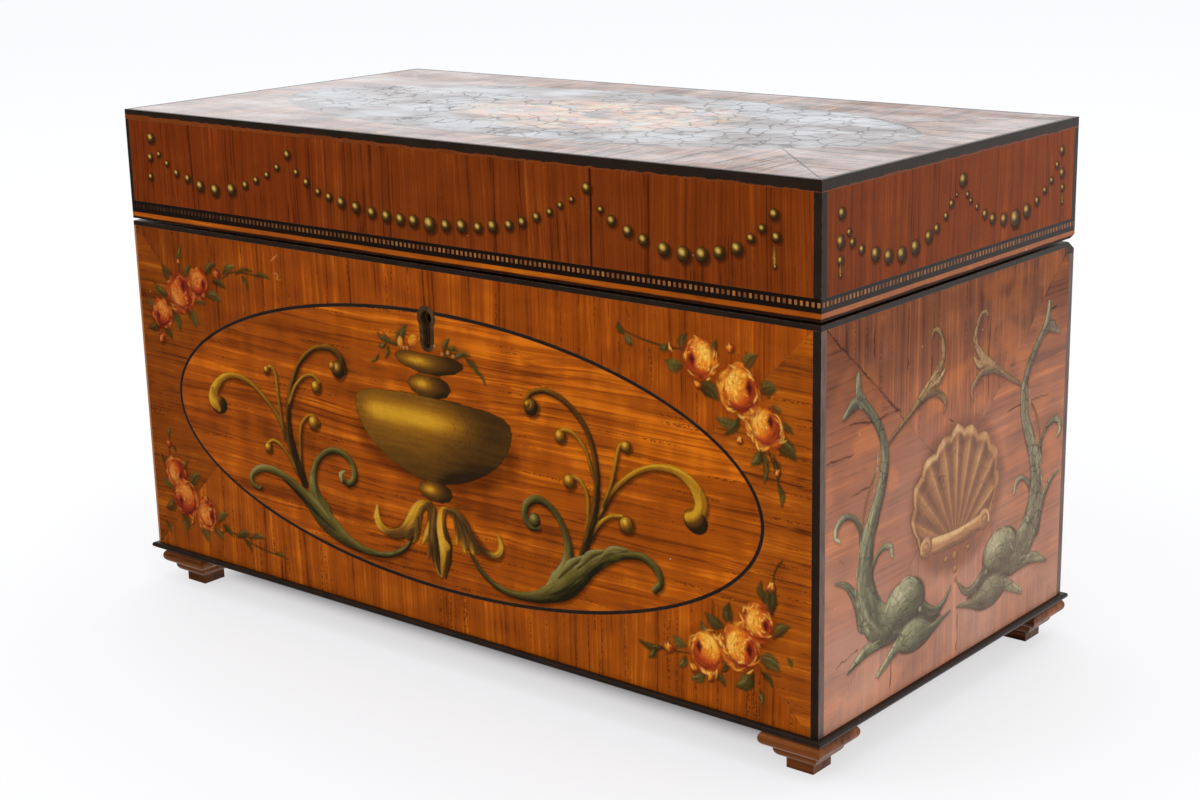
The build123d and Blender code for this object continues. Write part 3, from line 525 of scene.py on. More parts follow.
def worn_picture(finish, x, y):
    """The top's oval: blurred patches of blue-grey, cream and orange, worn past reading."""
    colours = bpy.context.scene.box_colours
    cloud = finish.noise((34, 22, 30)).step(0.4, 0.6)
    colour = finish.mix(cloud, colours.top_shade, colours.top_sky)
    across, up = (x - 8.0) / 62.0, y / 40.0
    inner = (across * across + up * up).step(1.1, 0.3)
    for shift, size, patch_colour in (
        ((10, 4, 0), (15, 9, 20), colours.top_cream),
        ((90, 30, 0), (12, 8, 20), colours.top_orange),
        ((40, 70, 0), (10, 7, 20), colours.top_rose),
    ):
        patch = finish.noise(size, vector=finish.along("X", shift)).step(0.48, 0.58) * inner
        colour = finish.mix(patch * 0.65, colour, patch_colour)
    return colour


def crackled_top(name, ground):
    """The lid's top: hazy old varnish over painted ground or crossbanding, with dark age cracks.

    The ground is the grain's direction, "string" for the dark line round the oval, or "painted"
    for the oval. The bandings have fissures along the grain and a line along their mitres.
    """
    finish = Finish(name)
    strength, thinnest, thickest = TOP_FINISH[ground]
    x, y, _ = finish.axes()
    right = x.span(0.0, 0.9, -40.0, 70.0)
    mask = finish.effect("Craquelure", {"Size": 8.5, "Width": 0.5, "Spread": right}) * strength
    if ground == "painted":
        colour = worn_picture(finish, x, y)
    elif ground == "string":
        colour = finish.mix(finish.noise(6, 3.0), bpy.context.scene.box_colours.ebony, srgb(92, 74, 66))
    else:
        turned = finish.along(ground)
        wood = finish.grain(turned, tones_of("top"), 2.8, 0.3, 0.9, 60, 2.6)
        pores = finish.effect("Pore rows", {"Vector": turned, "Amount": 1.5})
        colour = finish.mix(pores, wood, srgb(46, 34, 32))
        split = finish.noise((40, 0.9, 0.9), vector=turned).step(0.58, 0.64)
        mitre = abs((TOP_HALF_X - abs(x)) - (TOP_HALF_Y - abs(y))).step(0.7, 0.25)
        mask = mask + finish.maths("MAXIMUM", split, mitre) * right * 0.9
    mask = mask.held()
    haze = finish.noise((26, 16, 20), 3.0)
    coat = finish.noise((34, 10, 20), 4.0, 0.66).span(thinnest, thickest, 0.36, 0.6)
    coat = (coat + x.step(-20.0, -130.0) * 0.4).held()
    coat = (coat - y.step(36.0, 60.0) * 0.3).held()
    return finish.set(
        {
            "Base Color": finish.mix(mask, colour, srgb(36, 30, 30)),
            "Roughness": haze.span(0.2, 0.5, 0.3, 0.7),
            "Coat Weight": coat * (1.0 - mask),
            "Coat Roughness": 0.25,
            "Specular IOR Level": 0.4,
            "Normal": finish.bump(haze - mask, 0.4, 0.0003),
        }
    )


def plain_wood(name, tones, direction, gloss, shine=0.1, low_shade=1.0, contrast=2.2):
    """A board with quiet grain along X, Y or Z, dimmer within 10 mm of the floor by the low shade."""
    finish = Finish(name)
    wood = finish.grain(finish.along(direction), tones, contrast, 0.15, 0.3, 80, 4)
    colour = finish.times(wood, finish.axes()[2].span(low_shade, 1.0, 0.0, 10.0))
    return finish.polish(colour, wood.other("Height"), gloss, shine, 0.2)


def ebony(name, painted_side_haze=0.0, ragged=False):
    """Black stringing: near-black wood, brown where worn, with dust and painted haze on side faces.

    A ragged lower edge lets the veneer of the lid through, most at the left end.
    """
    colours = bpy.context.scene.box_colours
    finish = Finish(name)
    x, _, z = finish.axes()
    noise = finish.noise((9, 2, 9), 3.0)
    wear = finish.effect("Edge wear", {"Radius": 0.0004})
    specks = finish.effect("Specks", {"Size": 4.5})
    colour = finish.mix(noise, colours.ebony, srgb(48, 34, 26))
    colour = finish.mix(wear * 0.9, colour, srgb(112, 82, 62))
    colour = finish.mix(specks * 0.5, colour, srgb(170, 160, 150))
    if painted_side_haze:
        # Painted haze: reflected light painted onto the side faces
        sideways = abs(finish.facing()[0]).step(0.6, 0.9)
        colour = finish.mix(sideways * (noise * painted_side_haze + 0.1), colour, srgb(132, 104, 94))
        colour = finish.mix((x < -140.0) * 0.85, colour, srgb(176, 116, 70))
    if ragged:
        torn = finish.noise((5, 5, 40), 4.0, 0.7)
        kept = torn * 2.6 + x.span(0.6, 1.7, -150.0, 60.0)
        missing = (TOP_Z - z - kept).step(-0.1, 0.15)
        colour = finish.mix(missing, colour, finish.mix(torn, colours.lid_dark, colours.lid_light))
    pitted = finish.noise((2.4, 2.4, 1.2), 4.0, 0.7)
    return finish.set(
        {
            "Base Color": colour,
            "Normal": finish.bump(pitted, 0.5, 0.0002, Normal=wear.other("Normal")),
            "Roughness": 0.32,
            "Specular IOR Level": 0.12,
        }
    )


def lower_band(name):
    """The band under the chequered string: golden wood with a dark line along its lower edge.

    Its end faces have a painted haze of reflected light.
    """
    finish = Finish(name)
    wood = finish.grain(finish.along("X"), tones_of("front"), 1.6, 0.1, 0.4, 60, 2)
    z = finish.axes()[2]
    edge = (z - (finish.noise(20) * 0.7 + LOWER_BAND_Z)).step(0.7, 0.25)
    # Painted haze: reflected light painted onto the end faces
    painted_haze = (abs(finish.facing()[0]) > 0.5) * 0.55
    colour = finish.mix(painted_haze, wood, srgb(168, 112, 84))
    colour = finish.mix(edge, colour, srgb(40, 18, 8))
    return finish.polish(colour, wood.other("Height"), (0.3, 0.42))


def metal(name, colour, dark, roughness, metallic=1.0, shine=0.5):
    """Aged metal with darker clouds, the smoother the cleaner it is."""
    finish = Finish(name)
    cloud = finish.noise(3, 4.0, 0.65)
    wear = finish.effect("Edge wear", {"Radius": 0.0002})
    return finish.set(
        {
            "Base Color": finish.mix(cloud.step(0.35, 0.7), dark, colour),
            "Metallic": metallic,
            "Specular IOR Level": shine,
            "Roughness": cloud.span(roughness + 0.15, roughness),
            "Normal": wear.other("Normal"),
        }
    )


# Middle of the row of chequers above the string's lower edge
CHEQUER_ROW = 2.35


def chequer_string(name):
    """The chequered string: a black line, small light and dark squares, and a black line."""
    finish = Finish(name)
    x, y, z = finish.axes()
    on_end = abs(finish.facing()[0]) > 0.5
    place = finish.choose(on_end, x, y) / (bpy.context.scene.box_sizes.chequer_pitch / MM)
    square = abs(finish.maths("FRACT", place) - 0.5).step(0.29, 0.21)
    row = abs(z - CHEQUER_Z - CHEQUER_ROW).step(0.82, 0.62)
    number = finish.maths("FLOOR", place)
    chance = finish.add("TexWhiteNoise", {"W": number}, "Value", noise_dimensions="1D")
    light = finish.mix(chance, srgb(106, 58, 20), srgb(160, 100, 44))
    # Painted shade: the light squares fade out towards the left end
    mask = square * row * x.step(-190.0, 40.0)
    colour = finish.mix(mask, srgb(26, 14, 7), light)
    return finish.set({"Base Color": colour, "Roughness": 0.38, "Specular IOR Level": 0.15})


def cloth_lining(name, colour):
    """Short-napped cloth: a fine cross weave with a soft sheen."""
    finish = Finish(name)
    weave = finish.noise(0.5)
    darker = scaled_colour(colour, 0.6)
    mixed = finish.mix(finish.noise(30, 3.0) * 0.4, finish.mix(weave, darker, colour), darker)
    return finish.set(
        {
            "Base Color": mixed,
            "Roughness": 0.9,
            "Sheen Weight": 0.3,
            "Normal": finish.bump(weave, 0.6, 0.0001),
        }
    )


def oil_paint(name, cell, width, spread, strength):
    """Old oil paint under varnish. Its colour and cover come with each piece as an attribute.

    The age cracks have their own cell size, width, spread and strength.
    """
    finish = Finish(name)
    paint = finish.add("Attribute", output="Color", attribute_name="Paint")
    mottle = finish.noise(1.4, 3.0)
    cracks = finish.effect("Craquelure", {"Size": cell, "Width": width, "Spread": spread})
    colour = finish.times(paint, mottle.span(0.82, 1.14))
    return finish.set(
        {
            "Base Color": finish.mix(cracks * strength, colour, srgb(40, 26, 18)),
            "Alpha": paint.other("Alpha"),
            "Roughness": 0.4,
            "Specular IOR Level": 0.1,
            "Normal": finish.bump(mottle, 0.2, 0.00005),
        }
    )


def scaled_colour(colour, share):
    """A colour made darker or lighter, up to full."""
    return tuple(min(channel * share, 1.0) for channel in colour)


def dress(material, *nodes):
    """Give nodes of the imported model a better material."""
    for name in nodes:
        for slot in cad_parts[name].material_slots:
            slot.material = material


# Painting

PAINT_STEP = 0.25
PAINTED_LIGHT = np.array((-0.62, 0.78))


def hashed(column, row, seed):
    """A repeatable number from 0 to 1 for each cell of a lattice."""
    mixed = np.sin(column * 12.9898 + row * 78.233 + seed * 37.719) * 43758.5453
    return mixed - np.floor(mixed)


def smooth_noise(x, y, seed):
    """Numbers of a lattice, blended smoothly between its corners, from 0 to 1."""
    column, row = np.floor(x), np.floor(y)
    across, up = rise(x - column, 0, 1), rise(y - row, 0, 1)
    lower = hashed(column, row, seed) * (1 - across) + hashed(column + 1, row, seed) * across
    upper = hashed(column, row + 1, seed) * (1 - across) + hashed(column + 1, row + 1, seed) * across
    return lower * (1 - up) + upper * up


def rise(value, low, high):
    """0 up to low, 1 from high on, and smooth between them."""
    part = np.clip((value - low) / (high - low), 0, 1)
    return part * part * (3 - 2 * part)


def smooth_path(points, spacing=0.3):
    """Evenly spaced points on the Catmull-Rom curve through the given ones."""
    points = np.array(points, float)
    padded = np.vstack((2 * points[0] - points[1], points, 2 * points[-1] - points[-2]))
    span = len(points) - 1
    place = np.linspace(0, span, 24 * span + 1)
    index = np.minimum(place.astype(int), span - 1)
    part = (place - index)[:, None]
    a, b, c, d = (padded[index + shift] for shift in range(4))
    curve = b + 0.5 * part * (c - a + part * (2 * a - 5 * b + 4 * c - d + part * (3 * b - a - 3 * c + d)))
    length = np.concatenate(([0], np.cumsum(np.hypot(*np.diff(curve, axis=0).T))))
    even = np.linspace(0, length[-1], max(int(length[-1] / spacing), 4))
    return np.column_stack([np.interp(even, length, column) for column in curve.T])


def directions(path):
    """The way along a path at each of its points, one unit long."""
    steps = np.gradient(path, axis=0)
    return steps / (np.linalg.norm(steps, axis=1, keepdims=True) + 1e-9)


def read_off(values, place):
    """Values spread evenly from 0 to 1 and read off at a place between."""
    values = np.atleast_1d(values)
    return np.interp(place, np.linspace(0, 1, len(values)), values)


def ramp(tones, value):
    """Colours picked from evenly spaced tones by a value from 0 to 1."""
    return np.stack([read_off(channel, value) for channel in np.array(tones).T], axis=-1)


class Grid:
    """Points of a panel in even rows and columns."""

    def __init__(self, x, y, step):
        self.x, self.y, self.step = x, y, step
        self.corner = np.array((x[0, 0], y[0, 0]))

    def window(self, low, high):
        """The rows and columns of the grid between two corners."""
        first = np.maximum(((low - self.corner) / self.step).astype(int), 0)
        last = np.maximum(((high - self.corner) / self.step).astype(int) + 2, first + 1)
        return slice(first[1], last[1]), slice(first[0], last[0])

    def part(self, window):
        """The points of a window as a grid of their own."""
        return Grid(self.x[window], self.y[window], self.step)

    def nearest(self, path, reach):
        """For each point: distance off the path, signed distance to its left, place along it 0 to 1."""
        off = np.full(self.x.shape, 1e9)
        side = np.zeros(self.x.shape)
        along = np.zeros(self.x.shape)
        tangent = directions(path)
        for start in range(0, len(path), 24):
            run = path[start : start + 24]
            window = self.window(run.min(axis=0) - reach, run.max(axis=0) + reach)
            dx = self.x[window][..., None] - run[:, 0]
            dy = self.y[window][..., None] - run[:, 1]
            squared = dx * dx + dy * dy
            best = squared.argmin(axis=-1)[..., None]
            distance = np.sqrt(np.take_along_axis(squared, best, -1)[..., 0])
            left_of = np.take_along_axis(dy, best, -1) * tangent[start + best, 0]
            left_of -= np.take_along_axis(dx, best, -1) * tangent[start + best, 1]
            closer = distance < off[window]
            off[window] = np.where(closer, distance, off[window])
            side[window] = np.where(closer, left_of[..., 0], side[window])
            along[window] = np.where(closer, (start + best[..., 0]) / (len(path) - 1), along[window])
        return off, side, along


class Canvas(Grid):
    """A rectangle of a panel with a fine grid of points, painted stroke by stroke.

    A layer goes over what is there: cover = new + old * (1 - new), and the colours are
    averaged by how much of each is seen.
    """

    def __init__(self, left, low, right, high, step=PAINT_STEP):
        columns = int((right - left) / step) + 2
        rows = int((high - low) / step) + 2
        x, y = np.meshgrid(left + step * np.arange(columns), low + step * np.arange(rows))
        super().__init__(x, y, step)
        self.colour = np.zeros((rows, columns, 3))
        self.cover = np.zeros((rows, columns))

    def lay(self, window, colour, cover):
        """Lay a layer of paint over a window."""
        old = self.cover[window] * (1 - cover)
        total = old + cover
        seen = (cover / np.maximum(total, 1e-6))[..., None]
        self.colour[window] = self.colour[window] * (1 - seen) + colour * seen
        self.cover[window] = total


def brush(
    canvas, points, widths, tones, light=0.5, relief=0.42, streak=0.18, cover=1.0, soft=0.45, seed=1
):
    """A brush stroke along the smooth line through the points.

    Its width and its lightness run evenly through the given values. Relief lightens the flank
    that faces the painted light, streak adds the marks of the bristles, and soft is how wide
    its edge fades, in millimetres.
    """
    path = smooth_path(points)
    reach = np.max(widths) / 2 + soft
    window = canvas.window(path.min(axis=0) - reach, path.max(axis=0) + reach)
    off, side, along = canvas.part(window).nearest(path, reach)
    half = read_off(widths, along) / 2
    across = np.clip(side / np.maximum(half, 0.05), -1, 1)
    tangent = directions(path)[(along * (len(path) - 1)).astype(int)]
    faces_light = tangent[..., 0] * PAINTED_LIGHT[1] - tangent[..., 1] * PAINTED_LIGHT[0]
    length = np.hypot(*np.diff(path, axis=0).T).sum()
    bristle = smooth_noise(across * 2.5 + seed * 7.1, along * length / 5, seed) - 0.5
    value = read_off(light, along) + relief * across * faces_light + streak * bristle
    seen = np.clip((half - off) / soft + 0.5, 0, 1) * cover
    canvas.lay(window, ramp(tones, value), seen)


def ball(
    canvas, centre, radii, tones, turn=0.0, light=PAINTED_LIGHT, glint=0.0, cover=1.0, soft=0.4, base=0.0
):
    """A painted ball: lit by how far its round surface faces the light, with a glint on top."""
    radii = np.array(radii, float) * np.ones(2)
    centre = np.array(centre, float)
    reach = radii.max() + soft
    window = canvas.window(centre - reach, centre + reach)
    dx, dy = canvas.x[window] - centre[0], canvas.y[window] - centre[1]
    cosine, sine = toward(turn)
    u = (dx * cosine + dy * sine) / radii[0]
    v = (dy * cosine - dx * sine) / radii[1]
    out = np.hypot(u, v)
    depth = np.sqrt(np.clip(1 - out * out, 0, 1))
    x = u * cosine - v * sine
    y = u * sine + v * cosine
    facing = 0.72 * (x * light[0] + y * light[1]) + 0.62 * depth
    spot = np.hypot(x - 0.42 * light[0], y - 0.42 * light[1])
    value = base + 0.12 + 0.75 * np.clip(facing, 0, 1) + glint * np.exp(-((spot / 0.3) ** 2))
    seen = np.clip((1 - out) * radii.min() / soft + 0.5, 0, 1) * cover
    canvas.lay(window, ramp(tones, value), seen)


def toward(angle):
    """The direction of an angle in degrees, one unit long."""
    return np.array((math.cos(math.radians(angle)), math.sin(math.radians(angle))))


def turned_form(canvas, centre, heights, halves, tones, lightness, soft=0.5):
    """A turned form seen from the side: half widths at given heights, lit by a function.

    The function takes the place across, -1 to 1, and the place up, 0 to 1.
    """
    low, high, reach = heights[0], heights[-1], max(halves) + 1
    window = canvas.window(np.array((centre - reach, low - 1)), np.array((centre + reach, high + 1)))
    x, y = canvas.x[window], canvas.y[window]
    half = np.interp(y, heights, halves)
    across = np.clip((x - centre) / np.maximum(half, 0.1), -1, 1)
    up = np.clip((y - low) / (high - low), 0, 1)
    inside = np.minimum(half - np.abs(x - centre), np.minimum(y - low, high - y) + 0.3)
    seen = np.clip(inside / soft + 0.5, 0, 1)
    canvas.lay(window, ramp(tones, lightness(across, up, x, y)), seen)


class Easel:
    """A flat upright panel of the box: a point on it, the way across it and the way out of it."""

    up = np.array((0.0, 0.0, 1.0))

    def __init__(self, origin, across):
        self.origin = np.array(origin, float)
        self.across = np.array(across, float)
        self.out = np.cross(self.across, self.up)

    def place(self, x, y, lift):
        """Points of the panel, given in millimetres, as metres in the model's frame."""
        flat = self.origin + x[:, None] * self.across + y[:, None] * self.up
        return flat * MM + lift * self.out


FRONT = Easel((0, FRONT_Y, 0), (1, 0, 0))
RIGHT = Easel((SIDE_HIGH[0], 0, 0), (0, 1, 0))
LEFT = Easel((-SIDE_HIGH[0], 0, 0), (0, -1, 0))
LID_FRONT = Easel((0, LID_FRONT_Y, 0), (1, 0, 0))
LID_RIGHT = Easel((LID_SIDE_X, 0, 0), (0, 1, 0))
LID_LEFT = Easel((-LID_SIDE_X, 0, 0), (0, -1, 0))


def hang(canvas, easel, name, body, layer=1, paint="Smooth paint"):
    """The painted part of a canvas as a thin sheet on its panel.

    Grid point (i, j) lies at origin + x across + y up + lift out, and a square of the grid is
    kept when paint covers any of its corners.
    """
    painted = canvas.cover > 0.012
    around = (
        (slice(None, -1), slice(None, -1)),
        (slice(None, -1), slice(1, None)),
        (slice(1, None), slice(1, None)),
        (slice(1, None), slice(None, -1)),
    )
    squares = np.any([painted[corner] for corner in around], axis=0)
    index = np.arange(painted.size).reshape(painted.shape)
    points_of_squares = np.stack([index[corner] for corner in around], axis=-1)[squares]
    used, faces = np.unique(points_of_squares, return_inverse=True)
    lift = bpy.context.scene.box_sizes.paint_lift * layer
    points = easel.place(canvas.x.ravel()[used], canvas.y.ravel()[used], lift)
    mesh = bpy.data.meshes.new(name)
    mesh.from_pydata(points, [], faces.reshape(-1, 4))
    values = np.column_stack((canvas.colour.reshape(-1, 3)[used], canvas.cover.ravel()[used]))
    attribute = mesh.color_attributes.new("Paint", "FLOAT_COLOR", "POINT")
    attribute.data.foreach_set("color", values.astype(np.float32).ravel())
    mesh.materials.append(bpy.data.materials[paint])
    piece = bpy.data.objects.new(name, mesh)
    bpy.context.scene.collection.objects.link(piece)
    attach(piece, body)


def paint_tones(name, tint=(1, 1, 1)):
    """The shade, body, light and glint of one of the paints, seen through a tint."""
    colours = bpy.context.scene.box_colours
    tones = [getattr(colours, f"{name}_{tone}") for tone in TONES]
    return [tuple(channel * share for channel, share in zip(tone, tint)) for tone in tones]


def shadow(canvas, points, widths, cover=0.4):
    """A soft dark stroke below and right of a painted form."""
    moved = [(x + 0.7, y - 0.8) for x, y in points]
    brush(canvas, moved, widths, [srgb(58, 24, 8)] * 2, relief=0, streak=0, cover=cover, soft=1.3)


def hatch(canvas, points, reach, count, length, tones, light, width=0.5, cover=0.5, seed=1):
    """Short strokes scattered along a path and up to a reach off it, lighter on its lit side."""
    chance = np.random.default_rng(seed)
    path = smooth_path(points, 0.5)
    normal = directions(path)[:, ::-1] * (-1, 1)
    reaches = read_off(reach, np.linspace(0, 1, len(path)))
    steps = min(max(int(length / 0.5), 3), len(path) - 1)
    for _ in range(count):
        start = chance.integers(len(path) - steps)
        offset = chance.uniform(-0.9, 0.9)
        run = slice(start, start + steps + 1)
        line = path[run] + normal[run] * (reaches[run] * offset)[:, None]
        lit = offset * float(normal[start] @ PAINTED_LIGHT)
        value = light + 0.4 * lit + chance.normal(0, 0.1)
        brush(canvas, line[:: max(steps // 3, 1)], (0.15, width, 0.15), tones, value, 0, 0, cover, 0.4)


def stem(canvas, points, widths, tones, light=0.5, seed=1):
    """A scroll's stem: a soft shadow, a rounded ribbon with one light flank, and brush marks."""
    shadow(canvas, points, widths, 0.45)
    brush(canvas, points, widths, tones, light=light, relief=0.5, seed=seed, soft=0.6)
    reach = np.array(widths) * 0.3
    hatch(canvas, points, reach, 4 * len(points), 4, tones, float(np.mean(light)) + 0.1, 0.4, 0.45, seed)


def bulb(canvas, centre, radius, tones):
    """The round end of a stem: a dark rim below right and a bright spot at upper left."""
    x, y = centre
    ball(canvas, (x + 0.5, y - 0.5), radius * 1.25, [srgb(60, 30, 8)] * 2, cover=0.5, soft=1)
    ball(canvas, centre, radius, tones, glint=0.5)
    dab = (x - radius * 0.3, y + radius * 0.3)
    ball(canvas, dab, radius * 0.3, [tones[3], srgb(216, 176, 84)], soft=radius * 0.4, cover=0.8)


def paint_left_scroll():
    """The leaf scroll at the left of the urn."""
    canvas = Canvas(-118, 30, -9, 110)
    gold, green = paint_tones("gold"), paint_tones("green")
    olive = [green[0], *gold[:3]]
    stem(
        canvas,
        [
            (-71, 60), (-74, 69), (-78, 76), (-84, 82), (-92, 87), (-100, 88.6), (-107, 87), (-112, 82.5),
            (-113.6, 78.5),
        ],
        (2.2, 2.6, 2.2, 1.9, 1.8, 1.8, 2, 3.2, 5), gold, (0.1, 0.3, 0.4, 0.5, 0.6, 0.75, 0.9), 3,
    )
    ball(canvas, (-110.6, 76.2), (4.6, 3.4), olive, base=0.05)
    brush(canvas, [(-113.6, 81), (-113.4, 77), (-111, 74.6)], (3, 4.6, 2.4), gold, (0.75, 0.95, 0.6))
    ball(canvas, (-108.2, 77.2), 2, [green[0], green[0], gold[0]], cover=0.7, soft=1)
    for tones, points, widths, light, seed, end, radius in (
        (
            gold, [(-75.5, 70), (-77.2, 79), (-78, 88), (-78.6, 92.5), (-80.6, 94.7), (-83, 94.2)],
            (2, 1.7, 1.5, 1.4, 1.4, 1.3), (0.15, 0.4, 0.6, 0.7), 5, (-83.2, 93.3), 1.5,
        ),
        (
            gold, [(-69.5, 57), (-73, 62), (-77.5, 66), (-81.5, 67.4), (-84.8, 66)],
            (2.2, 1.6, 1.3, 1.2, 1.2), (0.1, 0.5, 0.75), 6, (-84.8, 64.2), 1.9,
        ),
        (
            gold, [(-67.8, 57), (-67.8, 66), (-66.6, 75), (-63, 79.2), (-59.6, 79.8), (-57.7, 78)],
            (2.4, 1.8, 1.5, 1.3, 1.3, 1.6), (0, 0.3, 0.5, 0.6), 7, (-60, 77.5), 2.5,
        ),
        (
            olive,
            [
                (-66.5, 54), (-70, 62), (-72.8, 71), (-72.8, 81), (-70, 90.5), (-65, 99), (-58, 104.5),
                (-50, 106), (-45, 103.5), (-43.4, 99.5),
            ],
            (3.4, 3.2, 2.8, 2.4, 2.1, 1.9, 1.8, 1.8, 2.4, 3.6), (0.2, 0.2, 0.35, 0.5, 0.6, 0.65, 0.4), 8,
            (-46, 98.8), 3,
        ),
        (
            gold, [(-71.8, 83), (-68.4, 89.4), (-63.5, 93.8), (-59, 94.8), (-56.2, 93)],
            (1.8, 1.5, 1.3, 1.2, 1.6), (0.3, 0.5, 0.6), 9, (-57.8, 90.9), 2.2,
        ),
    ):
        stem(canvas, points, widths, tones, light, seed)
        bulb(canvas, end, radius, tones)
    ball(canvas, (-49, 99.7), 1.5, gold, glint=0.6)
    curl = [
        (-53, 40.8), (-60.5, 49), (-62, 56.5), (-59.3, 63.5), (-53.5, 68.2), (-47, 69), (-41.8, 66),
        (-40.7, 61), (-43.6, 58), (-46.4, 58.8),
    ]
    stem(
        canvas, curl, (2, 8.4, 5.6, 3, 2.2, 2.2, 2.3, 2.6, 2.8, 2), green,
        (0.35, 0.45, 0.5, 0.3, 0.35, 0.45, 0.25), 10,
    )
    brush(canvas, [(-45.8, 62.2), (-47.6, 60.8), (-47.2, 58.6)], (1, 2, 1), green, (0.9, 1, 0.7))
    frond = [
        (-13.6, 44.6), (-17.5, 39.6), (-25, 35.8), (-33, 34.7), (-41, 35.4), (-49, 38), (-57, 42.6),
        (-66, 48.8), (-75, 54), (-83, 56), (-90, 55.4), (-94.6, 52.2), (-94.6, 49), (-91.4, 47.6),
        (-89.6, 48.6),
    ]
    stem(
        canvas, frond, (1.2, 1.8, 2, 2.2, 2.8, 4.4, 7.4, 8.4, 6, 3.4, 2.6, 2.6, 2.6, 2.2, 0.8), green,
        (0.2, 0.25, 0.3, 0.35, 0.4, 0.35, 0.3, 0.5, 0.6, 0.3), 11,
    )
    brush(
        canvas, [(-55, 43.5), (-62, 48.6), (-70, 53)], (0.6, 2.2, 0.6), green, (0.8, 0.7, 0.6), relief=0.1,
        cover=0.8,
    )
    brush(
        canvas, [(-60.8, 50), (-62.8, 57), (-60.6, 62)], (0.6, 2.6, 0.6), green, (0.6, 0.75, 0.6),
        relief=0.1, cover=0.8,
    )
    brush(
        canvas, [(-52, 39.2), (-60, 43.2), (-69, 48.8), (-78, 53.4)], (0.4, 1.6, 1.8, 0.5), green, 0,
        relief=0, cover=0.8,
    )
    hang(canvas, FRONT, "left_scroll_paint", "box")


def paint_right_scroll():
    """The leaf scroll at the right of the urn."""
    canvas = Canvas(9, 30, 116, 110)
    gold, green = paint_tones("gold"), paint_tones("green")
    olive = [green[0], *gold[:3]]
    stem(
        canvas,
        [
            (69.6, 68), (75, 77), (82, 83.6), (89, 87.5), (96, 88.9), (102, 88), (107, 84.8), (109.6, 80),
            (108.6, 76),
        ],
        (1.6, 1.9, 1.8, 1.8, 1.9, 2.2, 3, 4.4, 5), gold, (0.2, 0.5, 0.65, 0.75, 0.8, 0.7), 21,
    )
    ball(canvas, (107.4, 74), (4.6, 3.8), olive, turn=-20, base=0.05)
    brush(
        canvas, [(109.4, 84), (109.4, 79), (107, 75.8), (104.6, 74.8)], (1.2, 2, 3, 3), gold, (0.7, 0.9, 1),
    )
    for tones, points, widths, light, seed, end, radius in (
        (
            gold, [(71.4, 72), (75, 80.5), (76.8, 87.5), (78.2, 92.4), (80.2, 93.8)],
            (1.6, 1.6, 1.5, 1.4, 1.3), (0.2, 0.5, 0.65), 22, (80.9, 92.9), 1.9,
        ),
        (
            gold, [(66, 60.5), (69.6, 65.6), (74, 69), (78.4, 70)], (1.8, 1.5, 1.4, 1.3), (0.2, 0.6, 0.75),
            23, (80.5, 67.6), 2.7,
        ),
        (
            gold, [(63.6, 58), (65, 67), (64.9, 74), (62.3, 78.4), (58.8, 79.4)], (2, 1.6, 1.4, 1.3, 1.3),
            (0.2, 0.5, 0.75), 24, (57.6, 77.6), 2.3,
        ),
        (
            olive,
            [
                (61.6, 52.6), (65.2, 61.5), (68, 71), (69, 81), (67.6, 90), (64, 97.4), (57, 103.4),
                (49, 105.8), (43, 104.4), (40.2, 101.6),
            ],
            (2.2, 3.4, 3, 2.6, 2.2, 2, 1.9, 1.9, 1.9, 1.8), (0.25, 0.3, 0.4, 0.5, 0.5, 0.55, 0.6), 25,
            (42.3, 99.5), 2.8,
        ),
        (
            gold, [(67.6, 81), (64.8, 88.8), (60.6, 93.2), (56.6, 94.3), (53.6, 93.2)],
            (1.6, 1.4, 1.3, 1.2, 1.3), (0.3, 0.6, 0.75), 26, (54.2, 91.8), 2.1,
        ),
    ):
        stem(canvas, points, widths, tones, light, seed)
        bulb(canvas, end, radius, tones)
    ball(canvas, (40.8, 100.3), 1.2, gold, glint=0.6)
    curl = [
        (47, 38.4), (54, 45.5), (56.6, 53.5), (54.6, 61.5), (50, 67), (44, 69), (39.4, 66.6), (38.2, 62.6),
        (40.4, 59.4), (43.6, 59.4),
    ]
    stem(
        canvas, curl, (2.6, 7, 5.4, 3.8, 2.6, 2.4, 2.6, 2.8, 2.8, 2.4), green,
        (0.4, 0.45, 0.4, 0.25, 0.35, 0.4), 27,
    )
    ball(canvas, (42.5, 61.6), 2.4, green, glint=0.25, base=-0.1)
    frond = [
        (13.6, 44), (17.6, 39.4), (24, 35.4), (32, 34), (41, 35), (49, 38.2), (57, 43.5), (65, 50),
        (72.5, 54.8), (80, 57.6), (87, 58.2), (92.2, 55.4), (93.6, 51.2), (91.4, 48.4),
    ]
    stem(
        canvas, frond, (1.2, 1.8, 2.1, 2.4, 3.4, 6, 9, 8, 5.4, 4, 2.8, 2.6, 2.8, 2.2), green,
        (0.2, 0.3, 0.3, 0.3, 0.35, 0.3, 0.3, 0.3, 0.4, 0.35), 28,
    )
    for lobe in (
        ((52, 44), (57.5, 50), (63, 53.4)),
        ((60, 49), (65.5, 54.6), (70.5, 56.8)),
        ((69, 53.6), (74.5, 58), (80.4, 59.2)),
    ):
        brush(canvas, lobe, (0.8, 3, 1.4), green, (0.35, 0.6, 0.55), relief=0.45, cover=0.95)
    brush(
        canvas, [(48, 37), (58, 42.5), (66, 49), (74, 54)], (0.4, 1.8, 1.8, 0.5), green, 0, relief=0,
        cover=0.8,
    )
    hatch(canvas, frond[4:10], (1.4, 3.4, 3, 1.4), 46, 5, green, 0.5, 0.5, 0.5, 29)
    hang(canvas, FRONT, "right_scroll_paint", "box")


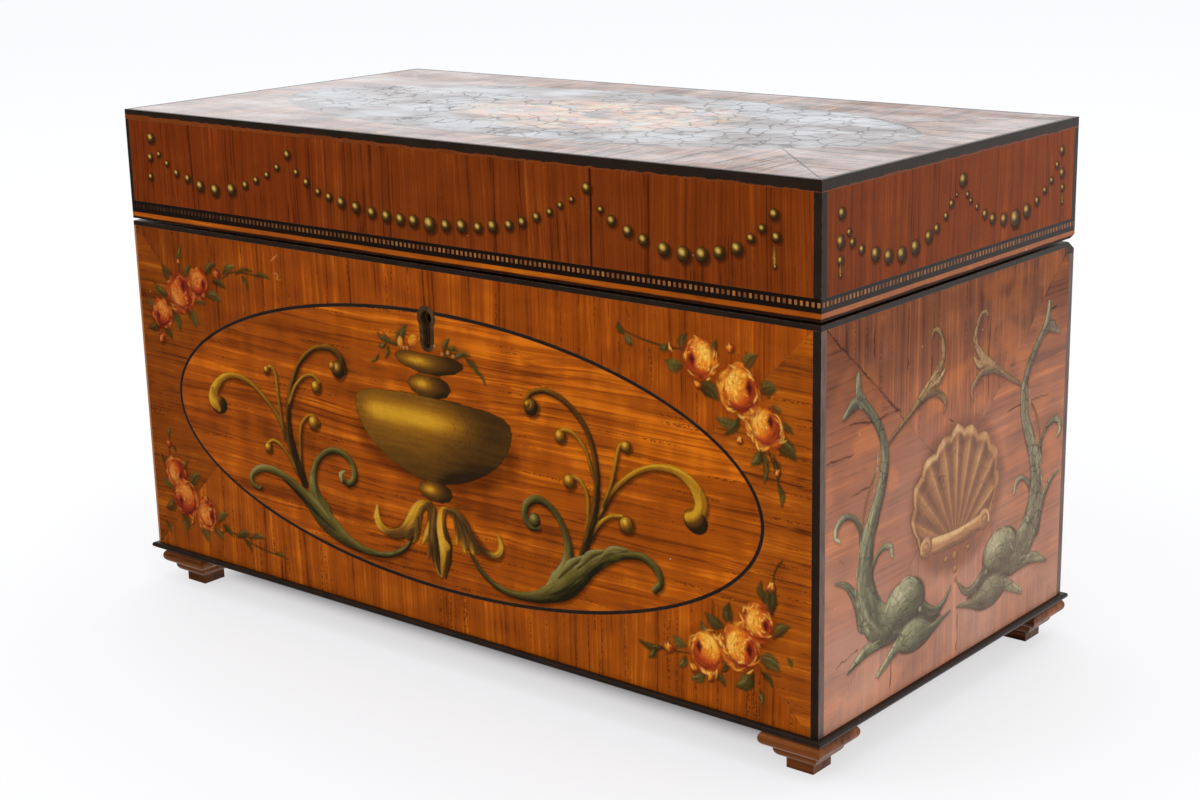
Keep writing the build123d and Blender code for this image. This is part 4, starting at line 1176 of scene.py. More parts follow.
def bowl_light(across, up, x, y):
    """Lightness of the bowl: a bright band high on the left, falling off below and to the right."""
    band = np.exp(-(((up - 0.73) / 0.13) ** 2))
    left = rise(across, -1.02, -0.7) * (1 - rise(across, -0.05, 0.75))
    body = 0.42 - 0.3 * rise(across, -0.1, 0.8) - 0.25 * rise(up, 0.5, 0)
    streaks = smooth_noise(x / 9, y / 0.7, 4) - 0.5
    return body + 0.62 * band * left + 0.09 * streaks


def knop_light(across, up, x, y):
    """Lightness of a flat knop: a bright patch left of its middle."""
    patch = np.exp(-(((across + 0.35) / 0.42) ** 2) - (((up - 0.6) / 0.26) ** 2))
    return 0.25 - 0.22 * rise(across, 0, 0.9) - 0.15 * rise(up, 0.4, 0) + 0.75 * patch


def paint_urn():
    """The urn: a dish, a knop, the bowl and a lower knop."""
    canvas = Canvas(-41, 57, 37, 112)
    gold = paint_tones("gold")
    middle = -2.3
    ball(canvas, (middle + 1.2, 80), (37, 15.5), [srgb(58, 24, 8)] * 2, cover=0.35, soft=3)
    heights = (65.9, 66.5, 67.5, 70, 73, 77, 81, 85, 88.5, 91.5, 93.6, 94.9, 95.5)
    halves = (0.5, 6, 11, 18, 24, 29.6, 33, 35.2, 36, 35.3, 32.5, 26, 14)
    turned_form(canvas, middle, heights, halves, gold, bowl_light)
    turned_form(canvas, -1.6, (59.8, 60.6, 62.8, 65, 66), (3.4, 6.2, 7.9, 7, 4.4), gold, knop_light)
    turned_form(canvas, -2.6, (95.9, 96.9, 99.4, 101.8, 102.8), (4.5, 8, 10, 8.6, 5.5), gold, knop_light)
    turned_form(
        canvas, -2.3, (103.9, 105.2, 107.6, 109.2, 110.2), (5, 11.5, 15.6, 15.4, 12), gold, knop_light,
    )
    hang(canvas, FRONT, "urn_paint", "box", 2)


def paint_acanthus():
    """The acanthus under the urn: a lobed pendant and two broad side leaves with turned-up tips."""
    canvas = Canvas(-34, 30, 31, 62)
    gold = paint_tones("gold")
    brown = [srgb(50, 31, 10), srgb(92, 59, 17), srgb(134, 91, 24), gold[3]]
    pale = [srgb(84, 46, 16), gold[1], srgb(150, 98, 18), gold[3], srgb(208, 152, 48)]
    left = [
        (-5, 58.6), (-9, 57.6), (-12, 54.6), (-14.4, 50.8), (-17.4, 47.4), (-21, 45.2), (-25, 44.3),
        (-28.4, 45.2), (-30.4, 48.2), (-30, 52.8),
    ]
    right = [
        (3.4, 57.6), (7.2, 57.6), (10.2, 55), (13, 51.4), (16.6, 48), (20.6, 45.9), (24.2, 45.7),
        (26.8, 47.4), (27.4, 50.4), (26.2, 53.4),
    ]
    for points in (left, right):
        shadow(canvas, points, (2, 4, 5.6, 5.6, 3.4, 2.4, 1), 0.45)
    for stroke in (
        (
            [(-6, 57.4), (-9.6, 55), (-11.8, 51), (-13.4, 47.4), (-15.4, 44.6)], (1.6, 4, 6, 7.6, 3.2),
            brown, (0.35, 0.4, 0.5, 0.45), 0.35, 0.5, 0.95, 0.8, 33,
        ),
        (
            [(-10.6, 52), (-10.9, 48.4), (-11.6, 44.8), (-13, 42.8)], (1.6, 2.6, 2.4, 0.8), brown,
            (0.2, 0.25, 0.4), 0.3, 0.4, 0.9, 0.7, 34,
        ),
        (
            [(-14, 47.6), (-18, 45.2), (-23, 43.9), (-27, 44.4)], (4, 4, 3.2, 1.8), brown,
            (0.45, 0.4, 0.35), 0.3, 0.4, 0.9, 0.9, 35,
        ),
        (
            left, (1, 2, 3, 3.4, 2.4, 1.8, 2, 2.8, 3, 0.8), pale,
            (0.5, 0.8, 0.95, 0.7, 0.3, 0.2, 0.5, 0.9, 1), 0.25, 0.4, 0.9, 0.9, 31,
        ),
        ([(-4, 58.4), (-6, 57.6), (-7.8, 56.4)], (1.4, 2.4, 1), brown, 0.3, 0.2, 0.3, 0.8, 0.7),
        (
            [(5, 57.4), (8.4, 55.4), (11, 51.6), (13.4, 48), (16.4, 46)], (2, 4.4, 6.4, 6.8, 3.2), brown,
            (0.3, 0.25, 0.25, 0.3), 0.3, 0.5, 0.95, 0.8, 36,
        ),
        (
            right, (1, 2, 2.8, 2.8, 2.2, 1.8, 1.9, 2.3, 2.4, 0.8), brown,
            (0.3, 0.35, 0.2, 0.1, 0.1, 0.15, 0.7, 1, 0.8), 0.35, 0.4, 0.95, 0.8, 32,
        ),
    ):
        brush(canvas, *stroke)
    for lobe, tip in (((6.6, 56.4), (7.4, 47)), ((8.6, 54.6), (10.8, 44.6)), ((12, 51.6), (14.6, 45))):
        middle = ((lobe[0] + tip[0]) / 2 + 0.7, (lobe[1] + tip[1]) / 2)
        brush(
            canvas, [lobe, middle, tip], (1.6, 2.6, 1.6), brown, (0.15, 0.3, 0.9), 0.4, 0.4, 0.85, 0.8, 37,
        )
    for stroke in (
        (
            [(-5.4, 58), (-4.6, 53.4), (-5.4, 49.4), (-7.2, 45.8), (-9, 43)], (1.4, 2.6, 3, 2.8, 0.8),
            brown, (0.15, 0.3, 0.5, 0.7), 0.3, 0.4, 0.95, 0.7, 38,
        ),
        (
            [(-5.4, 51.6), (-6.8, 47.6), (-8.8, 43.6)], (0.6, 1.5, 0.6), pale, (0.7, 0.95, 0.8), 0.1, 0.2,
            0.85, 0.6,
        ),
        (
            [(-3.6, 57.4), (-4, 49), (-5, 43.4), (-6.4, 38.6)], (1.4, 3, 3.2, 0.8), brown,
            (0.15, 0.15, 0.45), 0.3, 0.4, 0.9, 0.7, 39,
        ),
        (
            [(-2.4, 57), (-2.8, 50), (-2.8, 43), (-2.2, 37), (-0.6, 32.8)], (1.4, 3.6, 4.6, 4.2, 1.2),
            brown, (0.25, 0.12, 0.1, 0.2), 0.3, 0.5, 0.97, 0.7, 40,
        ),
        (
            [(3, 57.6), (1.9, 52), (3.3, 46), (2.9, 40.4), (1.3, 33.2)], (0.8, 1.8, 3.4, 3.4, 1), brown,
            (0.3, 0.15, 0.1, 0.15), 0.3, 0.4, 0.95, 0.7, 41,
        ),
        (
            [
                (3.4, 58.2), (1, 57.2), (-0.2, 53.6), (-0.3, 49.4), (0.6, 45), (0.7, 40.4), (0.2, 36.6),
                (-0.2, 33.2),
            ],
            (0.8, 1.8, 2.4, 2.8, 3.4, 2.6, 2, 1), pale, (0.4, 0.8, 0.95, 1, 0.95, 0.7, 0.5, 0.4), 0.2, 0.35,
            0.95, 0.7, 42,
        ),
        (
            [(1.6, 46.6), (3.2, 44.4), (2.2, 42.4)], (0.8, 1.8, 0.6), pale, (0.8, 0.7, 0.4), 0.1, 0.2, 0.85,
            0.7,
        ),
        ([(-3.4, 37.6), (-2.2, 34.2), (-0.4, 32.8)], (0.3, 0.9, 0.4), pale, 0.6, 0.1, 0.2, 0.6, 0.6),
    ):
        brush(canvas, *stroke)
    hang(canvas, FRONT, "acanthus_paint", "box", 3)


def leaf(canvas, base, tip, width, seed=1, light=0.4, cover=0.78):
    """A soft leaf from base to tip: a dark body, a few lighter strokes and a fine rib."""
    base, tip = np.array(base, float), np.array(tip, float)
    sideways = np.array((base[1] - tip[1], tip[0] - base[0])) * 0.12
    middle = (base + tip) / 2 + sideways
    green = paint_tones("green")
    brush(
        canvas, [base, middle, tip], (width * 0.35, width, width * 0.8, 0.3), green,
        (light - 0.2, light, light), 0.2, 0.3, cover, 1.1, seed,
    )
    hatch(
        canvas, [base, middle, tip], width * 0.32, 5, width * 0.9, green, light + 0.12, 0.5, cover * 0.5,
        seed,
    )
    brush(canvas, [base, middle, tip], (0.2, 0.4, 0.2), green, 0.1, relief=0, soft=0.5, cover=0.4)


def rose(canvas, centre, radius, heart, lit, seed, rosy):
    """A full rose: ragged outer petals away from the heart, a lit globe, a red crescent, a dark heart.

    Heart and lit are directions in degrees. The outer petals are short strokes that lean off
    the circle round the rose; the strokes of thick light paint bend round the heart.
    """
    chance = np.random.default_rng(seed)
    radius = radius * 0.86
    centre = np.array(centre, float)
    eye = centre + toward(heart) * radius * 0.46

    def arc(middle, size, start, span, width, light, cover=0.8, soft=0.4, lean=0):
        angles = np.linspace(start, start + span, 5)
        sizes = size * (1 + lean * np.linspace(-1, 1, 5))
        points = [middle + reach * toward(angle) for reach, angle in zip(sizes, angles)]
        brush(canvas, points, (0.2, width, width, 0.2), rosy, light, 0.1, 0.4, cover, soft, seed)

    ball(canvas, centre, radius * 1.25, [rosy[0], rosy[1]], cover=0.4, soft=radius * 0.6, base=0.1)
    for _ in range(26):
        start = chance.uniform(heart + 60, heart + 280)
        size = radius * chance.uniform(0.96, 1.22)
        lean = chance.uniform(-0.16, 0.16)
        span, width, light = chance.uniform(16, 36), chance.uniform(0.7, 1.6), chance.uniform(0.2, 0.65)
        arc(centre, size, start, span, width, light, 0.65, 0.7, lean)
    for _ in range(12):
        start = chance.uniform(heart + 80, heart + 290)
        size = radius * chance.uniform(0.98, 1.3)
        lean = chance.uniform(-0.16, 0.16)
        span, light = chance.uniform(10, 24), chance.uniform(0.65, 1)
        arc(centre, size, start, span, 0.55, light, 0.7, 0.45, lean)
    ball(canvas, centre, (radius * 0.9, radius), rosy, light=toward(lit), soft=1.4)
    arc(centre, radius * 0.86, -165, 150, radius * 0.22, (0.12, 0, 0.14), 0.8, 0.9)
    for _ in range(64):
        reach = radius * chance.uniform(0.34, 1.45)
        start = lit + chance.uniform(-90, 70)
        if np.hypot(*(eye + reach * toward(start) - centre)) > radius * 0.9:
            continue
        span = math.degrees(chance.uniform(0.6, 2) / reach)
        light = chance.choice((0.35, 0.7, 0.9, 1.1)) + chance.normal(0, 0.06)
        arc(
            eye, reach, start, span, chance.uniform(0.35, 0.7), light, 0.7, 0.35,
            chance.uniform(-0.05, 0.05),
        )
    for _ in range(9):
        start = heart + chance.uniform(-80, 40)
        size = radius * chance.uniform(0.82, 1.08)
        span, light = chance.uniform(14, 36), chance.uniform(0.4, 0.95)
        lean = chance.uniform(-0.08, 0.08)
        arc(centre, size, start, span, 0.5, light, 0.75, 0.4, lean)
    high, low = eye + (-0.2, radius * 0.34), eye + (0.3, -radius * 0.34)
    brush(canvas, [high, eye, low], (1, radius * 0.5, 0.8), [srgb(118, 22, 4)] * 2, 0.4, 0, 0, 0.8, 1.1)
    brush(
        canvas, [high * 0.7 + eye * 0.3, eye * 0.3 + low * 0.7], (0.5, radius * 0.3, 0.5),
        [srgb(66, 6, 8)] * 2, 0.4, 0, 0, 0.85, 0.8,
    )


def bud(canvas, centre, radius, seed, rosy):
    """A small bud: a few dabs of cream over a red-brown one."""
    chance = np.random.default_rng(seed)
    centre = np.array(centre, float)
    ball(
        canvas, centre + (radius * 0.25, -radius * 0.3), radius * 0.85, [srgb(84, 30, 8), rosy[1]],
        soft=0.9, cover=0.8,
    )
    for _ in range(4):
        middle = centre + chance.normal(0, radius * 0.28, 2)
        reach = radius * 0.5 * toward(math.degrees(chance.uniform(0.4, 2.4)))
        line = [middle - reach, middle, middle + reach]
        brush(canvas, line, (0.3, radius * 0.5, 0.3), rosy, chance.uniform(0.5, 1), 0.2, 0, 0.85, 0.45)


def twig(canvas, points, width=0.5):
    """A thin brown-green stem."""
    green = paint_tones("green")
    brush(
        canvas, points, (width, width * 1.3, width * 0.6), green, (0.2, 0.35), relief=0, soft=0.5,
        cover=0.75,
    )


def paint_spray(name, corners, twigs, leaves, roses, buds, tint=(1, 1, 1), cover=0.78):
    """A spray of roses in a corner of the front: twigs first, then leaves, roses and buds."""
    canvas = Canvas(*corners)
    rosy = paint_tones("rose", tint)
    for points in twigs:
        twig(canvas, points)
    for number, (base, tip, width) in enumerate(leaves):
        leaf(canvas, base, tip, width, number + 3, 0.3 + 0.07 * (number % 4), cover)
    for centre, radius, heart, lit, seed in roses:
        rose(canvas, centre, radius, heart, lit, seed, rosy)
    for number, (centre, radius) in enumerate(buds):
        bud(canvas, centre, radius, number, rosy)
    hang(canvas, FRONT, name, "box", 1, "Thick paint")


# The roses at the left are darkened with painted shade, as the front's left end is, and made redder
SHADED_LEFT_ROSES = (0.66, 0.42, 0.36)

# Nicks of the polish: a scratch and a chip near the top of the front
NICKS = (
    ((-77.3, 133.3), (-75.4, 134.8), (-73.4, 136.2)),
    ((-76.6, 129.1), (-75.2, 129.2), (-74.2, 129.1), (-74.1, 128.2), (-74.5, 127.4), (-72.6, 127.2)),
)


def paint_nicks():
    """The pale nicks of the front's polish."""
    canvas = Canvas(-80, 124, -70, 138)
    pale = [srgb(176, 84, 22), srgb(214, 124, 56)]
    for points in NICKS:
        brush(canvas, points, (0.4, 0.8, 0.7, 0.3), pale, (0.4, 1, 0.6), 0, 0.2, 0.75, 0.5)
    hang(canvas, FRONT, "front_nicks_paint", "box", 2)


def paint_roses():
    """The four sprays of roses in the corners of the front."""
    paint_spray(
        "top_left_roses_paint",
        (-151, 93, -70, 138.5),
        twigs=[[(-104, 124), (-98, 127), (-90, 127.4), (-79, 127)], [(-128, 122), (-127, 131)]],
        leaves=[
            ((-131.5, 121), (-137.5, 125.5), 4.6), ((-124, 121), (-121.5, 127), 3.6),
            ((-136, 114), (-142.5, 118), 4), ((-142, 110), (-147.5, 111), 3.6),
            ((-141, 103), (-148, 100.5), 3.8), ((-133, 108), (-129.5, 101.5), 4.6),
            ((-124.5, 110.5), (-120, 104), 4.8), ((-113, 117), (-105.5, 115.2), 3.8),
            ((-109, 122.4), (-102.5, 120.6), 3), ((-113, 124.5), (-107, 129), 3.6),
            ((-103, 126), (-97, 129), 3.4), ((-120, 113.4), (-114, 113.4), 2.4),
            ((-96, 126.8), (-87.5, 128.6), 1.8), ((-93, 126), (-90.5, 121.8), 1.8),
            ((-86, 127.2), (-78.5, 127), 1.6), ((-127.5, 127), (-126, 133), 2.2),
            ((-138, 101), (-134.6, 97.4), 3.4),
        ],
        roses=[
            ((-117, 120.6), 5.6, 0, 130, 2), ((-139.6, 106.6), 5.6, 200, 75, 3),
            ((-127.6, 116), 7.4, 60, 215, 1),
        ],
        buds=[((-107, 125.6), 2.2), ((-128, 127.6), 1.1), ((-141, 97.6), 2.4)],
        tint=SHADED_LEFT_ROSES,
        cover=0.6,
    )
    paint_spray(
        "bottom_left_roses_paint",
        (-151, 15, -76, 68),
        twigs=[
            [(-141, 50), (-141.5, 55), (-140.5, 61)], [(-112, 27), (-100, 27), (-90, 28.4)],
            [(-104, 26.6), (-92, 24), (-80, 23.2)],
        ],
        leaves=[
            ((-141, 47), (-146.5, 51), 3.4), ((-134, 46), (-131, 51), 2.8),
            ((-129.5, 42), (-124.5, 46.5), 4.6), ((-140, 40), (-147, 41.4), 3.2),
            ((-140, 33.5), (-146, 30), 4.6), ((-136, 29), (-134.5, 22.6), 5),
            ((-126, 26.5), (-122.5, 20.8), 4.6), ((-115.5, 30), (-110, 34), 3.4),
            ((-113, 29), (-108, 25.4), 3), ((-105, 26), (-98, 28.4), 3.2), ((-98, 26.8), (-91, 28.8), 2.4),
            ((-118, 26), (-113.5, 23), 3), ((-101, 25.6), (-98, 21.8), 2.2), ((-85, 23.8), (-79, 23), 1.4),
            ((-146.5, 24), (-144, 20), 2.2), ((-141, 59), (-140, 62.6), 2),
            ((-139, 55.4), (-137.6, 53.6), 1.8),
        ],
        roses=[
            ((-138, 45), 6, -25, 190, 5), ((-121.6, 31.4), 5.8, 0, 170, 6), ((-134, 35.2), 7, 200, 80, 4),
        ],
        buds=[
            ((-141.6, 56.4), 1.6), ((-122.4, 37.8), 1.8), ((-131, 27), 1.1), ((-126.4, 26.6), 1.3),
            ((-114, 27), 1.1),
        ],
        tint=SHADED_LEFT_ROSES,
        cover=0.6,
    )
    paint_spray(
        "top_right_roses_paint",
        (76, 82, 147, 134),
        twigs=[
            [(104, 127), (96, 127), (88, 128), (80, 130)], [(134, 101), (137, 94), (138.6, 86)],
            [(132, 101), (132.8, 92)],
        ],
        leaves=[
            ((103, 127), (104.6, 132), 3.6), ((114.6, 124.6), (115.4, 131.4), 3.6),
            ((125.6, 124), (130, 129), 4), ((102.6, 122), (96.6, 122.6), 4.4),
            ((109.4, 117), (116, 113.4), 5.4), ((131.6, 118.4), (136.6, 119.6), 5.4),
            ((134.6, 113.8), (138.4, 113.2), 2), ((122.4, 107.4), (115.4, 107.8), 3.4),
            ((123.6, 109), (118.4, 103.4), 2.6), ((136.6, 104), (143.6, 99.6), 5.6),
            ((131.4, 100), (128, 95.8), 3.6), ((132.4, 100), (132.8, 91), 1.6),
            ((136, 99), (137.4, 92.4), 2), ((137.8, 91), (138.8, 84.8), 2),
            ((97.6, 127.4), (94.6, 126), 2.2), ((83.6, 125.8), (82, 129), 2.8),
            ((80.6, 129), (78.6, 132), 2.4), ((138, 109), (142.6, 107.6), 2.6),
        ],
        roses=[
            ((109, 124.8), 6.2, 185, 40, 8), ((133, 108), 6.4, 45, 150, 9),
            ((124.4, 117.8), 7.6, 20, 150, 7),
        ],
        buds=[
            ((120.4, 130), 1.6), ((123.6, 102.6), 1.4), ((137, 95), 1.2), ((98.4, 127), 1),
            ((108.6, 117.2), 1.5), ((128.4, 111.6), 1.2),
        ],
    )
    paint_spray(
        "bottom_right_roses_paint",
        (82, 16, 147, 72),
        twigs=[[(139, 68), (136.4, 64), (135.6, 58), (133, 50)], [(106, 31), (97, 30), (86, 30)]],
        leaves=[
            ((120, 43.6), (119.8, 50.8), 4), ((117.4, 42.6), (110.8, 45.4), 4.2),
            ((112, 38), (109, 42.4), 3.4), ((103, 33), (98.4, 35), 3.6), ((94, 30), (85, 30.4), 2.6),
            ((91, 28.8), (88.6, 25.6), 2.4), ((103, 29), (101, 25.4), 2.8),
            ((110, 25.6), (105.4, 22.4), 3.6), ((119, 32), (116.6, 27.6), 2.4),
            ((114.6, 26.6), (118, 23.2), 2.4), ((128, 29.6), (122.4, 24.4), 5.6),
            ((131, 35.4), (138.4, 33.2), 5.4), ((132, 31), (135.6, 27.6), 2.2),
            ((136, 43.6), (141.6, 48), 4), ((141.4, 37.6), (142.4, 35.6), 1.8),
            ((131, 25), (131.6, 20.8), 1.6), ((135, 51), (136.4, 59.4), 5.6),
            ((132, 54.6), (131.4, 60), 2.6),
        ],
        roses=[
            ((130.6, 46.4), 6, 0, 170, 12), ((110.8, 33), 7, 160, 60, 11), ((124.2, 37.2), 7.4, 0, 165, 10),
        ],
        buds=[
            ((96.6, 31.2), 2), ((134.8, 59.4), 1.9), ((125, 49.8), 1), ((116.6, 37.4), 1.8),
            ((106.2, 26.6), 1.9), ((112.4, 25), 1.6),
        ],
    )


def paint_foliage():
    """Sprigs and small fruits over the urn's dish."""
    canvas = Canvas(-30, 102, 26, 122)
    for base, tip, width in (
        ((-14.6, 113), (-12, 119), 3.4), ((-16.4, 112.8), (-16, 116.4), 1.4),
        ((-17, 112), (-20.6, 113.6), 1.6), ((-20, 112), (-22.6, 115), 1.8),
        ((-21.4, 112.6), (-25.6, 114.8), 1.6), ((-22, 111.4), (-25.4, 110.2), 1.8),
        ((-21, 110.6), (-22.4, 106.4), 1.8), ((-25.6, 107), (-29, 104.4), 1.2),
        ((5, 112.4), (7.6, 117), 2.4), ((7, 113.4), (11.4, 113.6), 1.8), ((11, 111.6), (16.6, 112.6), 1.8),
        ((15.4, 111), (19.8, 107), 2.4), ((19, 108), (23, 104), 1.2), ((6, 110.8), (8, 113), 1.6),
        ((10, 110.8), (12.4, 112), 1.6),
    ):
        leaf(canvas, base, tip, width, int(base[0]) + 40)
    twig(canvas, [(-13, 111), (-19, 112), (-24, 112.4)], 0.4)
    twig(canvas, [(4, 111), (12, 112.4), (18, 109.4), (22.6, 104.6)], 0.4)
    gold = paint_tones("gold")
    ball(
        canvas, (-9, 114.4), (2.6, 1.9), [srgb(150, 70, 10), srgb(206, 118, 20), gold[3]], turn=35,
        soft=0.5,
    )
    ball(canvas, (-15, 113), (1.3, 1.9), [srgb(160, 80, 20), srgb(206, 130, 40), gold[3]], soft=0.5)
    for x, y in ((-11.8, 111.3), (1, 113.6), (4.2, 111.4), (6.8, 112.2), (9.2, 111.3), (-13.4, 111.2)):
        ball(canvas, (x, y), 0.75, [srgb(140, 70, 30), srgb(204, 138, 64)], soft=0.5, cover=0.8)
    hang(canvas, FRONT, "urn_foliage_paint", "box", 4)


# Each bead is its place across the panel, its height and its radius
FRONT_BEADS = (
    (-138.2, 172, 1.9), (-139.2, 164.9, 1.5), (-139.8, 157.8, 1.3), (-134.2, 166.4, 1.1),
    (-130, 163.4, 1.1), (-125, 160.3, 1.4), (-119, 158.9, 1.5), (-112.4, 156.8, 2), (-104.4, 156, 2.2),
    (-95.6, 157, 2.2), (-88, 159.2, 1.5), (-82.2, 161.4, 1.3), (-76.4, 163.7, 1.2), (-71, 166.8, 1.2),
    (-65.4, 171.6, 1.6), (-61.4, 165.9, 1.2), (-56.6, 162.9, 1.4), (-51, 160.1, 1.3), (-45.8, 158.9, 1.5),
    (-40, 157.6, 1.8), (-33, 156.6, 1.9), (-25.6, 155.5, 1.9), (-18.8, 155, 2), (-12.4, 154.6, 2),
    (-6.4, 154.6, 2.1), (0.8, 154.3, 2.6), (8, 154.6, 2), (15, 155.1, 2.2), (22.2, 155.3, 1.8),
    (28.4, 156.4, 2), (35.4, 157.4, 1.7), (41, 158.9, 1.6), (47, 161.1, 1.5), (52.4, 163.2, 1.2),
    (56.8, 165.7, 1.1), (61.4, 167.9, 1), (67.4, 172, 1.7), (72.7, 165.9, 1.1), (76.9, 162.9, 1.7),
    (83, 160.4, 1.8), (88.9, 158.4, 1.8), (96.5, 156.4, 2.2), (103.7, 155.7, 2.4), (110.5, 156.2, 2.3),
    (116.7, 157.6, 2), (123, 159.4, 2), (127.9, 162.9, 1.4), (131.8, 166.1, 1.3), (135.9, 170.6, 1.6),
    (136.7, 164.1, 1.5),
)
SIDE_BEADS = (
    (-66.5, 171, 1.7), (-67, 163, 1.9), (-67, 157.6, 1.4), (-62.6, 165, 1.1), (-60.8, 161.8, 1.3),
    (-55.9, 159, 1.4), (-48.6, 156.5, 2.1), (-41.5, 154.6, 2.1), (-34.2, 154, 2.3), (-26.6, 154.9, 2.2),
    (-19, 156.8, 1.9), (-14.3, 158.5, 1.5), (-9, 161.5, 1.2), (-5.8, 164.8, 1.3), (-2.6, 167, 0.7),
    (0.8, 171.2, 2.1), (3.8, 166.2, 1), (5.9, 164, 0.9), (9.8, 161.5, 1), (14.8, 158.5, 1.5),
    (19.8, 156.3, 1.7), (27, 155, 2), (34.4, 154.2, 2.9), (42, 155.6, 2.2), (48.8, 157.7, 1.5),
    (54, 160.4, 1.2), (58.4, 163, 1.2), (62, 167.6, 1.2), (65, 172, 1.5), (65.5, 164.5, 1.6),
    (66.2, 159.6, 1.2),
)


def bead(canvas, x, z, radius, tones):
    """A painted bead: a soft dark halo below right, a dull gold body and a small bright dab."""
    halo = (x + radius * 0.3, z - radius * 0.3)
    ball(canvas, halo, radius * 1.12, [srgb(56, 26, 8)] * 2, cover=0.6, soft=1.3)
    ball(canvas, (x, z), radius * 0.98, tones[:3], soft=0.7, cover=0.95, base=-0.1)
    dab, size = (x - radius * 0.22, z + radius * 0.26), (radius * 0.36, radius * 0.28)
    ball(canvas, dab, size, [tones[3]] * 2, turn=-30, soft=radius * 0.5, cover=0.9)


def drop(canvas, x, low, high, tones):
    """A thin drop between two heights, with a tiny bead at its tip."""
    brush(
        canvas, [(x, high), (x, (low + high) / 2), (x, low)], (0.4, 1.1, 0.5), tones, (0.5, 0.8), 0.4, 0,
        0.8, 0.7,
    )
    bead(canvas, x, low, 0.6, tones)


# The drops of each panel: the place across, the lowest and the highest point of each
SIDE_DROPS = ((-66.8, 153.2, 156.4), (66.6, 154.6, 157.8))
SWAGGED_PANELS = (
    (LID_FRONT, "front", (-144, 142), FRONT_BEADS, ((136.3, 155.6, 161.2),)),
    (LID_RIGHT, "right", (-72, 72), SIDE_BEADS, SIDE_DROPS),
    (LID_LEFT, "left", (-72, 72), SIDE_BEADS, SIDE_DROPS),
)


def paint_swags():
    """The bead swags on the front and the sides of the lid."""
    tones = paint_tones("bead")
    for easel, side, (left, right), beads, drops in SWAGGED_PANELS:
        canvas = Canvas(left, 150, right, 177)
        for x, z, radius in beads:
            bead(canvas, x, z, radius, tones)
        for x, low, high in drops:
            drop(canvas, x, low, high, tones)
        hang(canvas, easel, f"lid_{side}_swags_paint", "lid")


